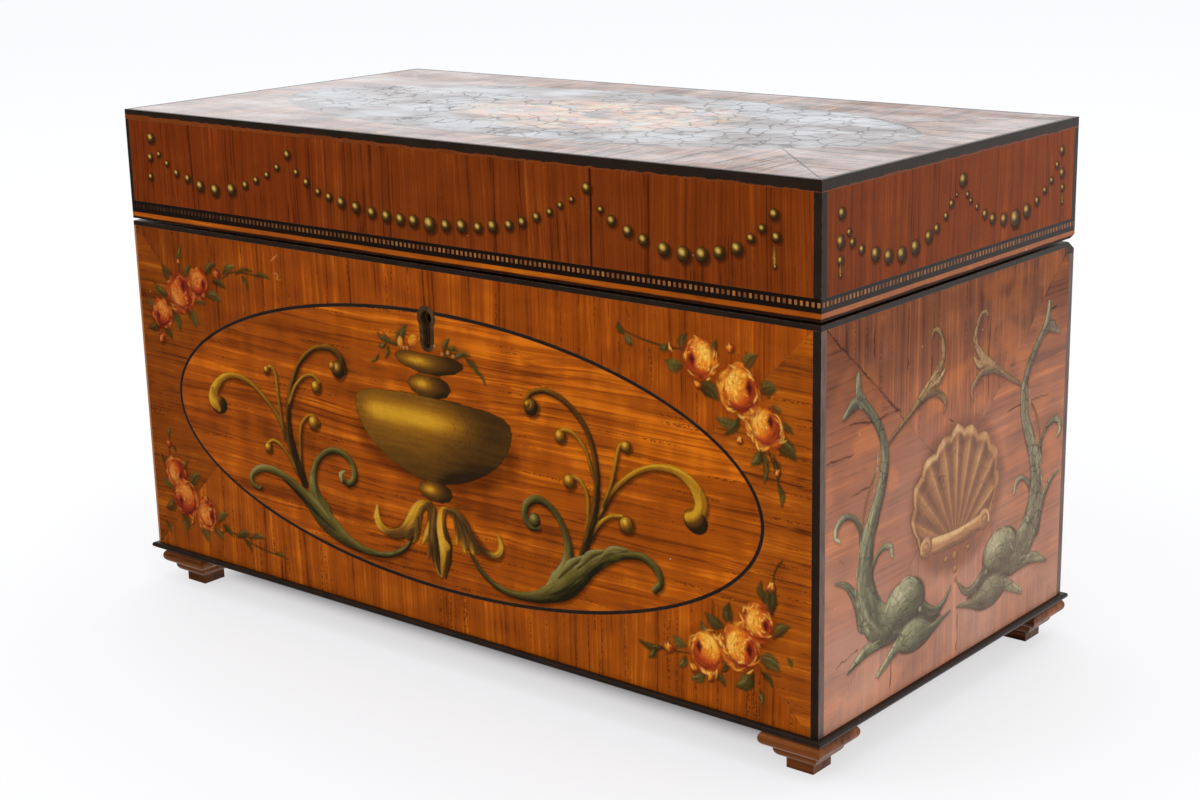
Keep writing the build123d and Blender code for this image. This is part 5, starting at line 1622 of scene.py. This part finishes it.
def paint_dolphin(canvas, mirror):
    """A heraldic dolphin, head down and tail up, with fins, fronds and a gilded arm."""
    sea = paint_tones("sea")
    gilt = [srgb(70, 52, 32), srgb(122, 90, 50), srgb(160, 122, 70), srgb(206, 168, 108)]

    def placed(points):
        return [(3 - x, y) for x, y in points] if mirror else points

    def stroke(points, widths, light=0.5, seed=1, tones=sea, relief=0.42, cover=1):
        shadow(canvas, placed(points), widths, 0.22 * cover)
        brush(canvas, placed(points), widths, tones, light, relief, 0.5, cover, 0.9, seed)

    def strokes(points, reach, count, length, light, seed, tones=sea, width=0.55, cover=0.6):
        hatch(canvas, placed(points), reach, count, length, tones, light, width, cover, seed)

    def lobe(centre, radii, light, glint=0):
        ball(canvas, *placed([centre]), radii, sea, glint=glint, soft=1.1, base=light)

    stroke([(-54, 70), (-53.2, 78), (-50, 86), (-45, 91.6)], (0.9, 0.8, 0.8, 0.5), 0.5, 41, gilt, cover=0.7)
    arm = [
        (-40.6, 97), (-35, 100), (-29, 103), (-22, 107), (-15, 111), (-10, 115.4), (-8.2, 119),
        (-9.2, 123.4), (-11.6, 126.6), (-14.6, 127), (-15.6, 125.6),
    ]
    stroke(
        arm, (1, 1.4, 1.6, 2, 3, 4, 3.2, 2.2, 2, 1.6, 0.8), (0.2, 0.3, 0.4, 0.45, 0.5, 0.45, 0.35, 0.45),
        42, gilt,
    )
    stroke(
        [(-26, 104), (-21, 106.4), (-14, 107.4), (-9.4, 105.6), (-6.8, 103), (-7.4, 99.6)],
        (0.8, 1.6, 2.4, 2.4, 2.2, 0.8), (0.1, 0.2, 0.25, 0.3, 0.5), 43, gilt,
    )
    stroke([(-16, 109.6), (-11, 110.4), (-7.4, 113.4)], (1, 2.6, 0.8), (0.5, 0.7), 44, gilt)
    strokes(arm[3:8], 1.4, 14, 4, 0.7, 3, gilt)
    stroke(
        [(-53.4, 68), (-55, 75), (-59, 79.2), (-64, 80.4), (-67.6, 78.4), (-68, 75.4), (-66, 73.8)],
        (3, 2, 1.7, 1.6, 2.2, 2.4, 1), (0.3, 0.3, 0.35, 0.7, 0.95), 45,
    )
    stroke(
        [(-48.6, 60), (-45, 63.6), (-41, 65.2), (-37.6, 64), (-36.8, 61.2)], (2.6, 1.7, 1.6, 2.2, 1.6),
        (0.3, 0.35, 0.5, 0.9), 46,
    )
    stroke(
        [(-52, 45), (-56, 52), (-60.4, 57.4), (-64, 59.8), (-68, 61.2)], (8, 4.6, 3, 2, 0.5),
        (0.3, 0.3, 0.4, 0.6), 47,
    )
    fin = [(-36, 34.4), (-44, 35), (-52, 34.2), (-61, 30.6)]
    tip = [(-27, 33), (-34, 29.6), (-40, 26.4), (-44, 24.2)]
    stroke(fin, (4, 4.6, 3.8, 0.6), (0.4, 0.5, 0.6), 48)
    stroke(tip, (6, 4.4, 3, 1.6), (0.4, 0.6, 0.8), 49)
    stroke([(-54.6, 114), (-59.4, 113.6), (-64.6, 110.6)], (3.4, 4.2, 0.8), (0.3, 0.4, 0.6), 50)
    stroke([(-54.6, 113), (-56.6, 117.2), (-57, 122)], (3.2, 3.2, 1.8), (0.4, 0.6, 0.8), 51)
    body = [
        (-56, 115), (-50, 109.4), (-44.8, 103.4), (-42, 97), (-41.4, 91.4), (-43, 85), (-46.8, 77.6),
        (-50.2, 70.6), (-51.6, 63), (-51.6, 55.6), (-49.6, 49), (-45.4, 42.6), (-38, 38.6), (-30, 37),
    ]
    widths = (2.4, 3, 3.2, 3.6, 4.2, 5, 5.8, 6.6, 7.6, 9, 11.4, 13, 12, 8)
    stroke(body, widths, (0.3, 0.35, 0.4, 0.42, 0.42, 0.45, 0.4, 0.3), 52, relief=0.36)
    strokes(body[3:12], (1.2, 1.8, 2.6, 3.4, 5.2), 90, 5, 0.5, 4)
    lit = [(-45.4, 97), (-46, 89), (-50, 78), (-55, 67), (-56.6, 56), (-54, 47), (-48, 39)]
    shaded = [(-41, 96), (-40.8, 88), (-44.4, 77), (-48, 66), (-47.4, 56), (-43.6, 49)]
    strokes(lit, 0.8, 34, 3, 1, 11, width=0.5, cover=0.7)
    strokes(shaded, 0.8, 26, 4, 0, 12, width=0.7, cover=0.5)
    strokes(body[8:13], (2.6, 4.4, 5.6), 26, 4, 0.3, 5)
    lobe((-28.6, 43.8), (11.6, 7.2), 0.08, 0.2)
    lobe((-21.5, 31), (11.5, 5.8), 0)
    strokes([(-39, 42), (-34, 48), (-27, 49.6), (-20, 46)], 2.2, 34, 3, 1, 6)
    strokes([(-36, 40), (-29, 43), (-21, 42)], 3.4, 34, 4, 0.3, 7)
    strokes([(-31, 31), (-22, 33), (-13, 31)], 3.2, 40, 4, 0.5, 8)
    strokes(fin, (1.2, 1.8, 1.2, 0.4), 14, 4, 0.75, 9)
    strokes(tip, (2, 1.6, 1, 0.6), 12, 3, 0.75, 10)
    stroke(
        [(-18, 39), (-14, 36), (-9, 34.8), (-4.6, 36.6), (-0.6, 40.4)], (4, 4, 2.8, 1.8, 0.5),
        (0.2, 0.25, 0.35, 0.7), 54,
    )
    stroke([(-17, 29.8), (-11, 29.8), (-5, 31.2), (-0.6, 32)], (6, 3, 1.6, 0.5), (0.3, 0.4, 0.6), 55)
    stroke(
        [(-24, 37.4), (-18, 36), (-13, 33.2), (-7, 32.6)], (1.8, 2.4, 2, 0.6), 0, 56, relief=0, cover=0.8,
    )
    stroke(
        [(-38, 37.6), (-30, 36.6), (-22, 37.6), (-17.4, 41.6), (-18.6, 46)], (1.2, 2.2, 2.4, 2, 0.8), 0.02,
        57, relief=0, cover=0.55,
    )
    stroke(
        [(-55, 58), (-53.6, 51), (-49.4, 44), (-42, 37.4)], (1, 1.8, 1.8, 1), (0.75, 0.8, 0.7), 58,
        relief=0, cover=0.4,
    )
    stroke(
        [(-43.6, 96), (-44.4, 86), (-49.6, 75), (-53.8, 64)], (0.6, 1.2, 1.8, 1.2), (0.7, 0.85, 0.75), 59,
        relief=0, cover=0.55,
    )
    ball(canvas, *placed([(-19.4, 38.4)]), 0.8, sea[2:], soft=0.8, cover=0.8)


def paint_shell(canvas):
    """A scallop in the middle of the side: ribs fan out from a rolled hinge.

    In polar coordinates about the hinge, the edge is a reach for each angle, waved by the
    ribs, and the lightness follows the rib's phase.
    """
    gilt = paint_tones("gilt")
    middle = np.array((1.5, 54))
    window = canvas.window(middle + (-32, -2), middle + (32, 43))
    dx, dy = canvas.x[window] - middle[0], canvas.y[window] - middle[1]
    angle = np.degrees(np.arctan2(dx, dy))
    out = np.hypot(dx, dy)
    reach = np.interp(
        np.abs(angle), (0, 12, 22, 32, 46, 60, 69, 81, 90), (40, 38.6, 37.6, 38, 36, 31.8, 27.6, 21, 14),
    )
    spread = np.sign(angle) * np.abs(angle / 90) ** 0.92 * 90
    phase = spread / 16.0
    crest = np.abs(np.sin(phase * math.pi + math.pi / 2))
    reach = reach - 1.7 * (1 - crest ** 0.6) + 0.5 * (smooth_noise(phase * 3, phase, 8) - 0.5)
    part = out / reach
    ridge = np.cos(phase * 2 * math.pi)
    flank = np.sin(phase * 2 * math.pi)
    thin = np.exp(-((np.sin(phase * math.pi) / 0.3) ** 2))
    value = 0.4 + 0.14 * ridge + 0.36 * thin - 0.2 * flank * rise(part, 0.2, 0.5)
    value = value + 0.12 * (smooth_noise(angle / 3, out / 7, 5) - 0.5)
    value = value + 0.1 * (smooth_noise(angle / 9, out / 1.6, 6) - 0.5)
    value = value * (0.66 + 0.24 * rise(part, 0.25, 0.8)) * (0.8 + 0.2 * rise(angle, -60, 0))
    rim = np.exp(-(((part - 0.955) / 0.035) ** 2))
    rim = rim * (0.45 + 0.55 * smooth_noise(angle / 12, 0 * angle, 9))
    value = value * (1 - rim) + rim * (1.1 - 0.5 * rise(angle, -10, 60))
    value = value - 0.25 * rise(part, 0.8, 0.9) * (1 - rise(part, 0.9, 0.94))
    seen = 0.84 * np.clip((reach - out) / 0.7 + 0.5, 0, 1)
    seen = seen * np.clip((90 - np.abs(angle)) * out * 0.0175 / 0.8, 0, 1)
    ball(canvas, middle + (1.2, 16), (29, 25), [srgb(70, 34, 22)] * 2, cover=0.25, soft=4)
    canvas.lay(window, ramp(gilt, value), seen)
    brush(
        canvas, [(-12, 57.6), (-4, 57.2), (5, 57), (14, 57.4), (19, 57.8)], (4.4, 3.6, 3.4, 3.6, 4.4), gilt,
        (0.8, 0.75, 0.7, 0.6), relief=0.45, streak=0.3,
    )
    brush(
        canvas, [(-12, 54.8), (-2, 54.2), (8, 54), (18, 54.6)], (0.6, 1.4, 1.4, 0.6), gilt,
        (0.1, 0.15, 0.1), relief=0, cover=0.8,
    )
    for x, y, turn in ((-16.4, 57.8, 1), (20, 57.4, -1)):
        ball(canvas, (x, y), 3.6, gilt, soft=0.7)
        angles = np.linspace(200, -160, 12)
        sizes = np.linspace(3.2, 0.9, 12)
        curl = [(x, y) + (turn, 1) * toward(angle) * size for angle, size in zip(angles, sizes)]
        brush(canvas, curl, (0.9, 1.2, 0.8), gilt, (0.9, 0.7, 0.2), relief=0.2)
        inner = [point * 0.6 + np.array((x, y)) * 0.4 for point in curl]
        brush(canvas, inner, (0.4, 0.6, 0.4), gilt, 0.05, relief=0)
    for x, y, size in (
        (-4, 50.4, 1.2), (1.6, 50.2, 1.6), (10, 50.6, 1.2), (2, 45.4, 1.3), (2.4, 41.8, 0.9),
    ):
        ball(canvas, (x, y), size, gilt, soft=0.8, cover=0.7)


# Shrinkage cracks of the side veneers, each a line of places across and heights
SIDE_CRACKS = (
    ((-70.5, 136), (-52, 120.8), (-33, 105.4)),
    ((-61, 108.2), (-54, 107.2), (-47, 106), (-40, 106.8), (-33, 106.6)),
    ((-73, 99.2), (-66, 98.8), (-59, 98.6)),
    ((-67.5, 34.4), (-61, 35.4), (-55, 36.6)),
    ((-48, 134), (-48.2, 130), (-47.8, 126)),
    ((-29, 137), (-29.4, 126), (-29, 118)),
    ((-15.6, 124), (-15.2, 116), (-15.8, 108)),
    ((20.6, 122), (20.2, 110), (20.8, 98)),
    ((34, 90.4), (48, 91), (62, 90)),
    ((-66, 68.6), (-63.6, 65.8)),
    ((-4, 96.8), (-1, 95)),
    ((-60, 86), (-50, 86.6)),
    ((56, 118), (66, 120)),
    ((4, 30), (4.4, 22), (4, 17)),
    ((-36, 26), (-36.4, 18)),
)


def crack(canvas, points, seed):
    """A thin dark crack that comes and goes along its line."""
    chance = np.random.default_rng(seed)
    path = smooth_path(points, 0.8)
    path = path + chance.normal(0, 0.16, path.shape)
    covers = chance.uniform(0.2, 0.85, 1 + len(path) // 6)
    for number, cover in enumerate(covers):
        run = path[number * 6 : number * 6 + 8]
        if len(run) > 2:
            brush(canvas, run, (0.25, 0.5, 0.25), [srgb(48, 22, 14)] * 2, 0.5, 0, 0, cover, 0.35)


def haze(canvas, amount):
    """A layer of painted haze, the pale light reflected in the old varnish, over a painted canvas."""
    painted_veil = np.array(srgb(196, 150, 128))
    canvas.colour = canvas.colour * (1 - amount) + painted_veil * amount


def paint_sides():
    """The shell between two dolphins on each side, over the cracks of the veneer."""
    for easel, side in ((RIGHT, "right"), (LEFT, "left")):
        canvas = Canvas(-74, 16, 74, 138, 0.2)
        for seed, points in enumerate(SIDE_CRACKS):
            crack(canvas, points, seed)
        hang(canvas, easel, f"{side}_cracks_paint", "box")
        # The dolphins, the far one more, get a painted haze of light reflected in the varnish
        for mirror, place, left, right, painted_veil in ((False, "near", -71, 3, 0.1), (True, "far", 0, 74, 0.2)):
            canvas = Canvas(left, 20, right, 130)
            paint_dolphin(canvas, mirror)
            haze(canvas, painted_veil)
            hang(canvas, easel, f"{side}_{place}_dolphin_paint", "box", 2, "Cracked paint")
        canvas = Canvas(-31, 38, 34, 98)
        paint_shell(canvas)
        # Painted haze over the shell
        haze(canvas, 0.22)
        hang(canvas, easel, f"{side}_shell_paint", "box", 3)


# Operators


class BoxOperator(bpy.types.Operator):
    """Base of the box's operators."""

    bl_options = {"REGISTER", "UNDO"}


class SATINWOOD_OT_front(BoxOperator):
    """Veneer the front: an oval, its string and four crossbandings"""

    bl_idname = "satinwood.front"
    bl_label = "Front veneers"

    def execute(self, context):
        oval = (2.6, 0.3, 0.7, 120, 3.0)
        upright = (1.9, 0.16, 0.5, 110, 1.9)
        level = (2.2, 0.2, 0.5, 90, 2.4)
        # Looks: figure, tone, lightness of the painted shade at the left end, tint, depth of dark streaks
        for node, name, direction, cut, *looks in (
            ("front_oval_panel", "Front oval satinwood", "X", 0, oval, 0.98, 1.04, (1.02, 0.95, 0.5), 0.72),
            ("front_top_band", "Front top crossbanding", "Z", 40, upright, 0.87, 0.56, (1, 0.88, 0.5)),
            (
                "front_bottom_band", "Front bottom crossbanding", "Z", 90, upright, 0.97, 0.84,
                (1, 0.94, 0.6),
            ),
            ("front_left_band", "Front left crossbanding", "X", 20, level, 0.9, 0.7, (1, 0.96, 0.7)),
            ("front_right_band", "Front right crossbanding", "X", 70, level, 0.96),
        ):
            dress(front_veneer(name, direction, (0, 0, cut), *looks), node)
        return {"FINISHED"}


class SATINWOOD_OT_sides(BoxOperator):
    """Veneer the sides and the back of the base"""

    bl_idname = "satinwood.sides"
    bl_label = "Side veneers"

    def execute(self, context):
        dress(quartered_veneer("Side quartered satinwood"), "right_side_veneers", "left_side_veneers")
        dress(plain_wood("Back veneer", tones_of("side"), "X", (0.35, 0.5)), "back_veneer")
        return {"FINISHED"}


class SATINWOOD_OT_lid(BoxOperator):
    """Veneer the lid and lay its crackled top"""

    bl_idname = "satinwood.lid"
    bl_label = "Lid veneers"

    def execute(self, context):
        upright = lid_veneer("Lid satinwood")
        dress(upright, "lid_front_veneer", "lid_back_veneer", "lid_left_veneer", "lid_right_veneer")
        dress(crackled_top("Top crossbanding front and back", "Y"), "top_front_band", "top_back_band")
        dress(crackled_top("Top crossbanding ends", "X"), "top_left_band", "top_right_band")
        dress(crackled_top("Top oval", "painted"), "top_oval_panel")
        dress(crackled_top("Top oval string", "string"), "top_oval_string")
        dress(lower_band("Lower band of the lid"), "lid_lower_band")
        dress(chequer_string("Chequered string"), "lid_chequer_string")
        return {"FINISHED"}


class SATINWOOD_OT_strings(BoxOperator):
    """Blacken the strings, the edgings and the moulding"""

    bl_idname = "satinwood.strings"
    bl_label = "Strings and edgings"

    def execute(self, context):
        black = ebony("Ebony")
        dress(black, "front_oval_string", "lid_corner_strings", "rim_edging", "base_moulding")
        dress(ebony("Dull ebony", 0.9), "base_corner_strings")
        dress(ebony("Worn ebony", ragged=True), "top_edging")
        return {"FINISHED"}


class SATINWOOD_OT_carcass(BoxOperator):
    """Finish the boards, the feet and the linings"""

    bl_idname = "satinwood.carcass"
    bl_label = "Boards, feet and linings"

    def execute(self, context):
        colours = context.scene.box_colours
        tones = (scaled_colour(colours.carcass, 0.5), colours.carcass, scaled_colour(colours.carcass, 1.4))
        along_x = plain_wood("Long boards", tones, "X", (0.5, 0.7))
        along_y = plain_wood("End boards", tones, "Y", (0.5, 0.7))
        dress(along_x, "front_board", "back_board", "bottom_board", "lid_top_board")
        dress(along_x, "lid_front_rail", "lid_back_rail")
        dress(along_y, "left_board", "right_board", "lid_left_rail", "lid_right_rail")
        tones = (scaled_colour(colours.foot, 0.35), colours.foot, scaled_colour(colours.foot, 1.7))
        feet = plain_wood("Feet", tones, "X", (0.25, 0.4), 0.12, 0.5, 3.6)
        dress(feet, "front_left_foot", "front_right_foot", "back_left_foot", "back_right_foot")
        cloth = cloth_lining("Lining", colours.lining)
        dress(cloth, "base_floor_lining", "base_wall_linings", "lid_top_lining", "lid_wall_linings")
        return {"FINISHED"}


class SATINWOOD_OT_metalwork(BoxOperator):
    """Finish the keyhole inlay, the lock and the hinges"""

    bl_idname = "satinwood.metalwork"
    bl_label = "Lock and hinges"

    def execute(self, context):
        colours = context.scene.box_colours
        old = metal("Old brass", colours.old_brass, srgb(54, 38, 20), 0.5, 0.05, 0.1)
        dress(old, "keyhole_escutcheon")
        brass = metal("Brass", colours.brass, srgb(96, 76, 44), 0.3)
        dress(brass, "lock_plate", "lock_cap", "lock_screws", "lock_link_plate", "link_plate_screws")
        dress(brass, "base_hinge_screws", "lid_hinge_screws")
        sides = ("left", "right")
        dress(brass, *(f"{side}_hinge_{part}_leaf" for part in ("base", "lid") for side in sides))
        steel = metal("Steel", srgb(150, 148, 144), srgb(70, 62, 56), 0.35)
        dress(steel, "lock_drill_pin", "lock_bolt", "left_hinge_pin", "right_hinge_pin")
        return {"FINISHED"}


class SATINWOOD_OT_scrolls(BoxOperator):
    """Paint the leaf scrolls at both sides of the urn"""

    bl_idname = "satinwood.scrolls"
    bl_label = "Leaf scrolls"

    def execute(self, context):
        oil_paint("Smooth paint", 5.0, 0.14, 0.2, 0.45)
        oil_paint("Thick paint", 1.7, 0.12, 0.5, 0.45)
        oil_paint("Cracked paint", 4.4, 0.3, 0.55, 0.7)
        paint_left_scroll()
        paint_right_scroll()
        return {"FINISHED"}


class SATINWOOD_OT_urn(BoxOperator):
    """Paint the urn, its acanthus and its foliage"""

    bl_idname = "satinwood.urn"
    bl_label = "Urn"

    def execute(self, context):
        paint_urn()
        paint_acanthus()
        paint_foliage()
        return {"FINISHED"}


class SATINWOOD_OT_roses(BoxOperator):
    """Paint the four sprays of roses"""

    bl_idname = "satinwood.roses"
    bl_label = "Roses"

    def execute(self, context):
        paint_nicks()
        paint_roses()
        return {"FINISHED"}


class SATINWOOD_OT_swags(BoxOperator):
    """Paint the bead swags round the lid"""

    bl_idname = "satinwood.swags"
    bl_label = "Bead swags"

    def execute(self, context):
        paint_swags()
        return {"FINISHED"}


class SATINWOOD_OT_dolphins(BoxOperator):
    """Paint the shell and the dolphins on the sides"""

    bl_idname = "satinwood.dolphins"
    bl_label = "Shell and dolphins"

    def execute(self, context):
        paint_sides()
        return {"FINISHED"}


class SATINWOOD_OT_stage(BoxOperator):
    """Set the floor, the light and the camera"""

    bl_idname = "satinwood.stage"
    bl_label = "Stage"

    def execute(self, context):
        make_floor()
        make_lights()
        make_camera()
        return {"FINISHED"}


# Stage

FLOOR_HALF = 4.0


def make_floor():
    """A wide white floor that glows all round the box and fades to grey under it in a painted shadow."""
    mesh = bpy.data.meshes.new("Floor")
    around = ((-1, -1), (1, -1), (1, 1), (-1, 1))
    mesh.from_pydata([(x * FLOOR_HALF, y * FLOOR_HALF, 0) for x, y in around], [], [(0, 1, 2, 3)])
    floor = bpy.data.objects.new("Floor", mesh)
    bpy.context.scene.collection.objects.link(floor)
    finish = Finish("White floor")
    far_x, far_y, _ = in_mm(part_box("base_moulding"))[1]
    x, y, _ = finish.axes()
    # Painted shadow: the glow fades to a dark blue-grey under the box
    painted_shadow = (far_x - abs(x)).step(12.0, 31.0) * (far_y - abs(y)).step(12.0, 31.0)
    finish.set(
        {
            "Base Color": (0.34, 0.346, 0.357),
            "Emission Color": finish.mix(painted_shadow, (0.99, 0.99, 1.0), (0.03, 0.038, 0.06)),
            "Emission Strength": 0.63,
            "Roughness": 0.75,
            "Specular IOR Level": 0.2,
        }
    )
    mesh.materials.append(finish.material)
    floor.visible_glossy = False


# Each lamp is its name, its place, its size and its power
LAMPS = (
    ("Key", (-0.7, -1.6, 1.5), 1.6, 9.0),
    ("Fill", (1.8, -0.6, 0.9), 1.2, 3.0),
    ("Top", (0.0, 0.3, 2.0), 1.8, 9.0),
)
LIT_POINT = mathutils.Vector((0.0, 0.0, 0.08))


def make_lights():
    """A white room with a dark side in front, and large soft lamps over the box.

    The room is white to the eye. In reflections it is dim in front of the box and bright
    behind it, so that the front keeps its colour and the lid's top shows its polish.
    """
    world = bpy.data.worlds.new("White room")
    world.use_nodes = True
    background = world.node_tree.nodes["Background"]
    room = Nodes(world.node_tree)
    room.vector = room.add("TexCoord", output="Generated")
    ends = {"From Min": -0.5, "From Max": 0.5, "To Min": 0.05, "To Max": 1.13}
    depth = {"Value": room.axes()[1], **ends}
    mirrored = room.add("MapRange", depth, interpolation_type="SMOOTHSTEP")
    path = room.add("LightPath", output="Is Glossy Ray")
    light = room.choose(path, 0.86, mirrored)
    room.feed(background.inputs["Color"], (0.97, 0.98, 1.0))
    room.feed(background.inputs["Strength"], room.choose(path.other("Is Camera Ray"), light, 1.0))
    bpy.context.scene.world = world
    for name, place, size, power in LAMPS:
        lamp_data = bpy.data.lights.new(name, "AREA")
        lamp_data.shape = "SQUARE"
        lamp_data.size = size
        lamp_data.energy = power
        lamp = bpy.data.objects.new(name, lamp_data)
        lamp.location = place
        lamp.rotation_euler = (LIT_POINT - lamp.location).to_track_quat("-Z", "Y").to_euler()
        bpy.context.scene.collection.objects.link(lamp)


CAMERA_PLACE = (0.46291, -0.54844, 0.27358)
CAMERA_AZIMUTH = math.radians(39.705)
CAMERA_ELEVATION = math.radians(15.244)
CAMERA_ROLL = math.radians(-1.244)
CAMERA_LENS = 61.85


def make_camera():
    """The photograph's camera: placed, turned and rolled, with no shift."""
    camera_data = bpy.data.cameras.new("Camera")
    camera_data.lens = CAMERA_LENS
    camera_data.sensor_width = 36
    camera_data.sensor_fit = "HORIZONTAL"
    camera = bpy.data.objects.new("Camera", camera_data)
    turn = mathutils.Matrix.Rotation(CAMERA_AZIMUTH, 4, "Z")
    tilt = mathutils.Matrix.Rotation(math.pi / 2 - CAMERA_ELEVATION, 4, "X")
    roll = mathutils.Matrix.Rotation(CAMERA_ROLL, 4, "Z")
    camera.matrix_world = mathutils.Matrix.Translation(CAMERA_PLACE) @ turn @ tilt @ roll
    bpy.context.scene.collection.objects.link(camera)
    bpy.context.scene.camera = camera
    bpy.context.scene.view_settings.view_transform = "Standard"


class SATINWOOD_PT_panel(bpy.types.Panel):
    """Lists the steps that dress the box."""

    bl_label = "Satinwood Box"
    bl_idname = "SATINWOOD_PT_panel"
    bl_space_type = "VIEW_3D"
    bl_region_type = "UI"
    bl_category = "Satinwood Box"

    def draw(self, context):
        for operator in STEPS:
            self.layout.operator(operator.bl_idname)
        for settings in (context.scene.box_sizes, context.scene.box_colours):
            for name in settings.__annotations__:
                self.layout.prop(settings, name)


STEPS = (
    SATINWOOD_OT_front,
    SATINWOOD_OT_sides,
    SATINWOOD_OT_lid,
    SATINWOOD_OT_strings,
    SATINWOOD_OT_carcass,
    SATINWOOD_OT_metalwork,
    SATINWOOD_OT_scrolls,
    SATINWOOD_OT_urn,
    SATINWOOD_OT_roses,
    SATINWOOD_OT_swags,
    SATINWOOD_OT_dolphins,
    SATINWOOD_OT_stage,
)
CLASSES = (BoxColours, BoxSizes, *STEPS, SATINWOOD_PT_panel)


def register():
    """Register the classes and hang the settings on the scene."""
    for item in CLASSES:
        bpy.utils.register_class(item)
    bpy.types.Scene.box_colours = bpy.props.PointerProperty(type=BoxColours)
    bpy.types.Scene.box_sizes = bpy.props.PointerProperty(type=BoxSizes)


def unregister():
    """Take the settings off the scene and remove the classes."""
    del bpy.types.Scene.box_sizes
    del bpy.types.Scene.box_colours
    for item in reversed(CLASSES):
        bpy.utils.unregister_class(item)


def main():
    """Dress the box step by step."""
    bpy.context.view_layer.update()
    register()
    build_effects()
    for operator in STEPS:
        group, action = operator.bl_idname.split(".")
        getattr(getattr(bpy.ops, group), action)()


if __name__ == "__main__":
    main()
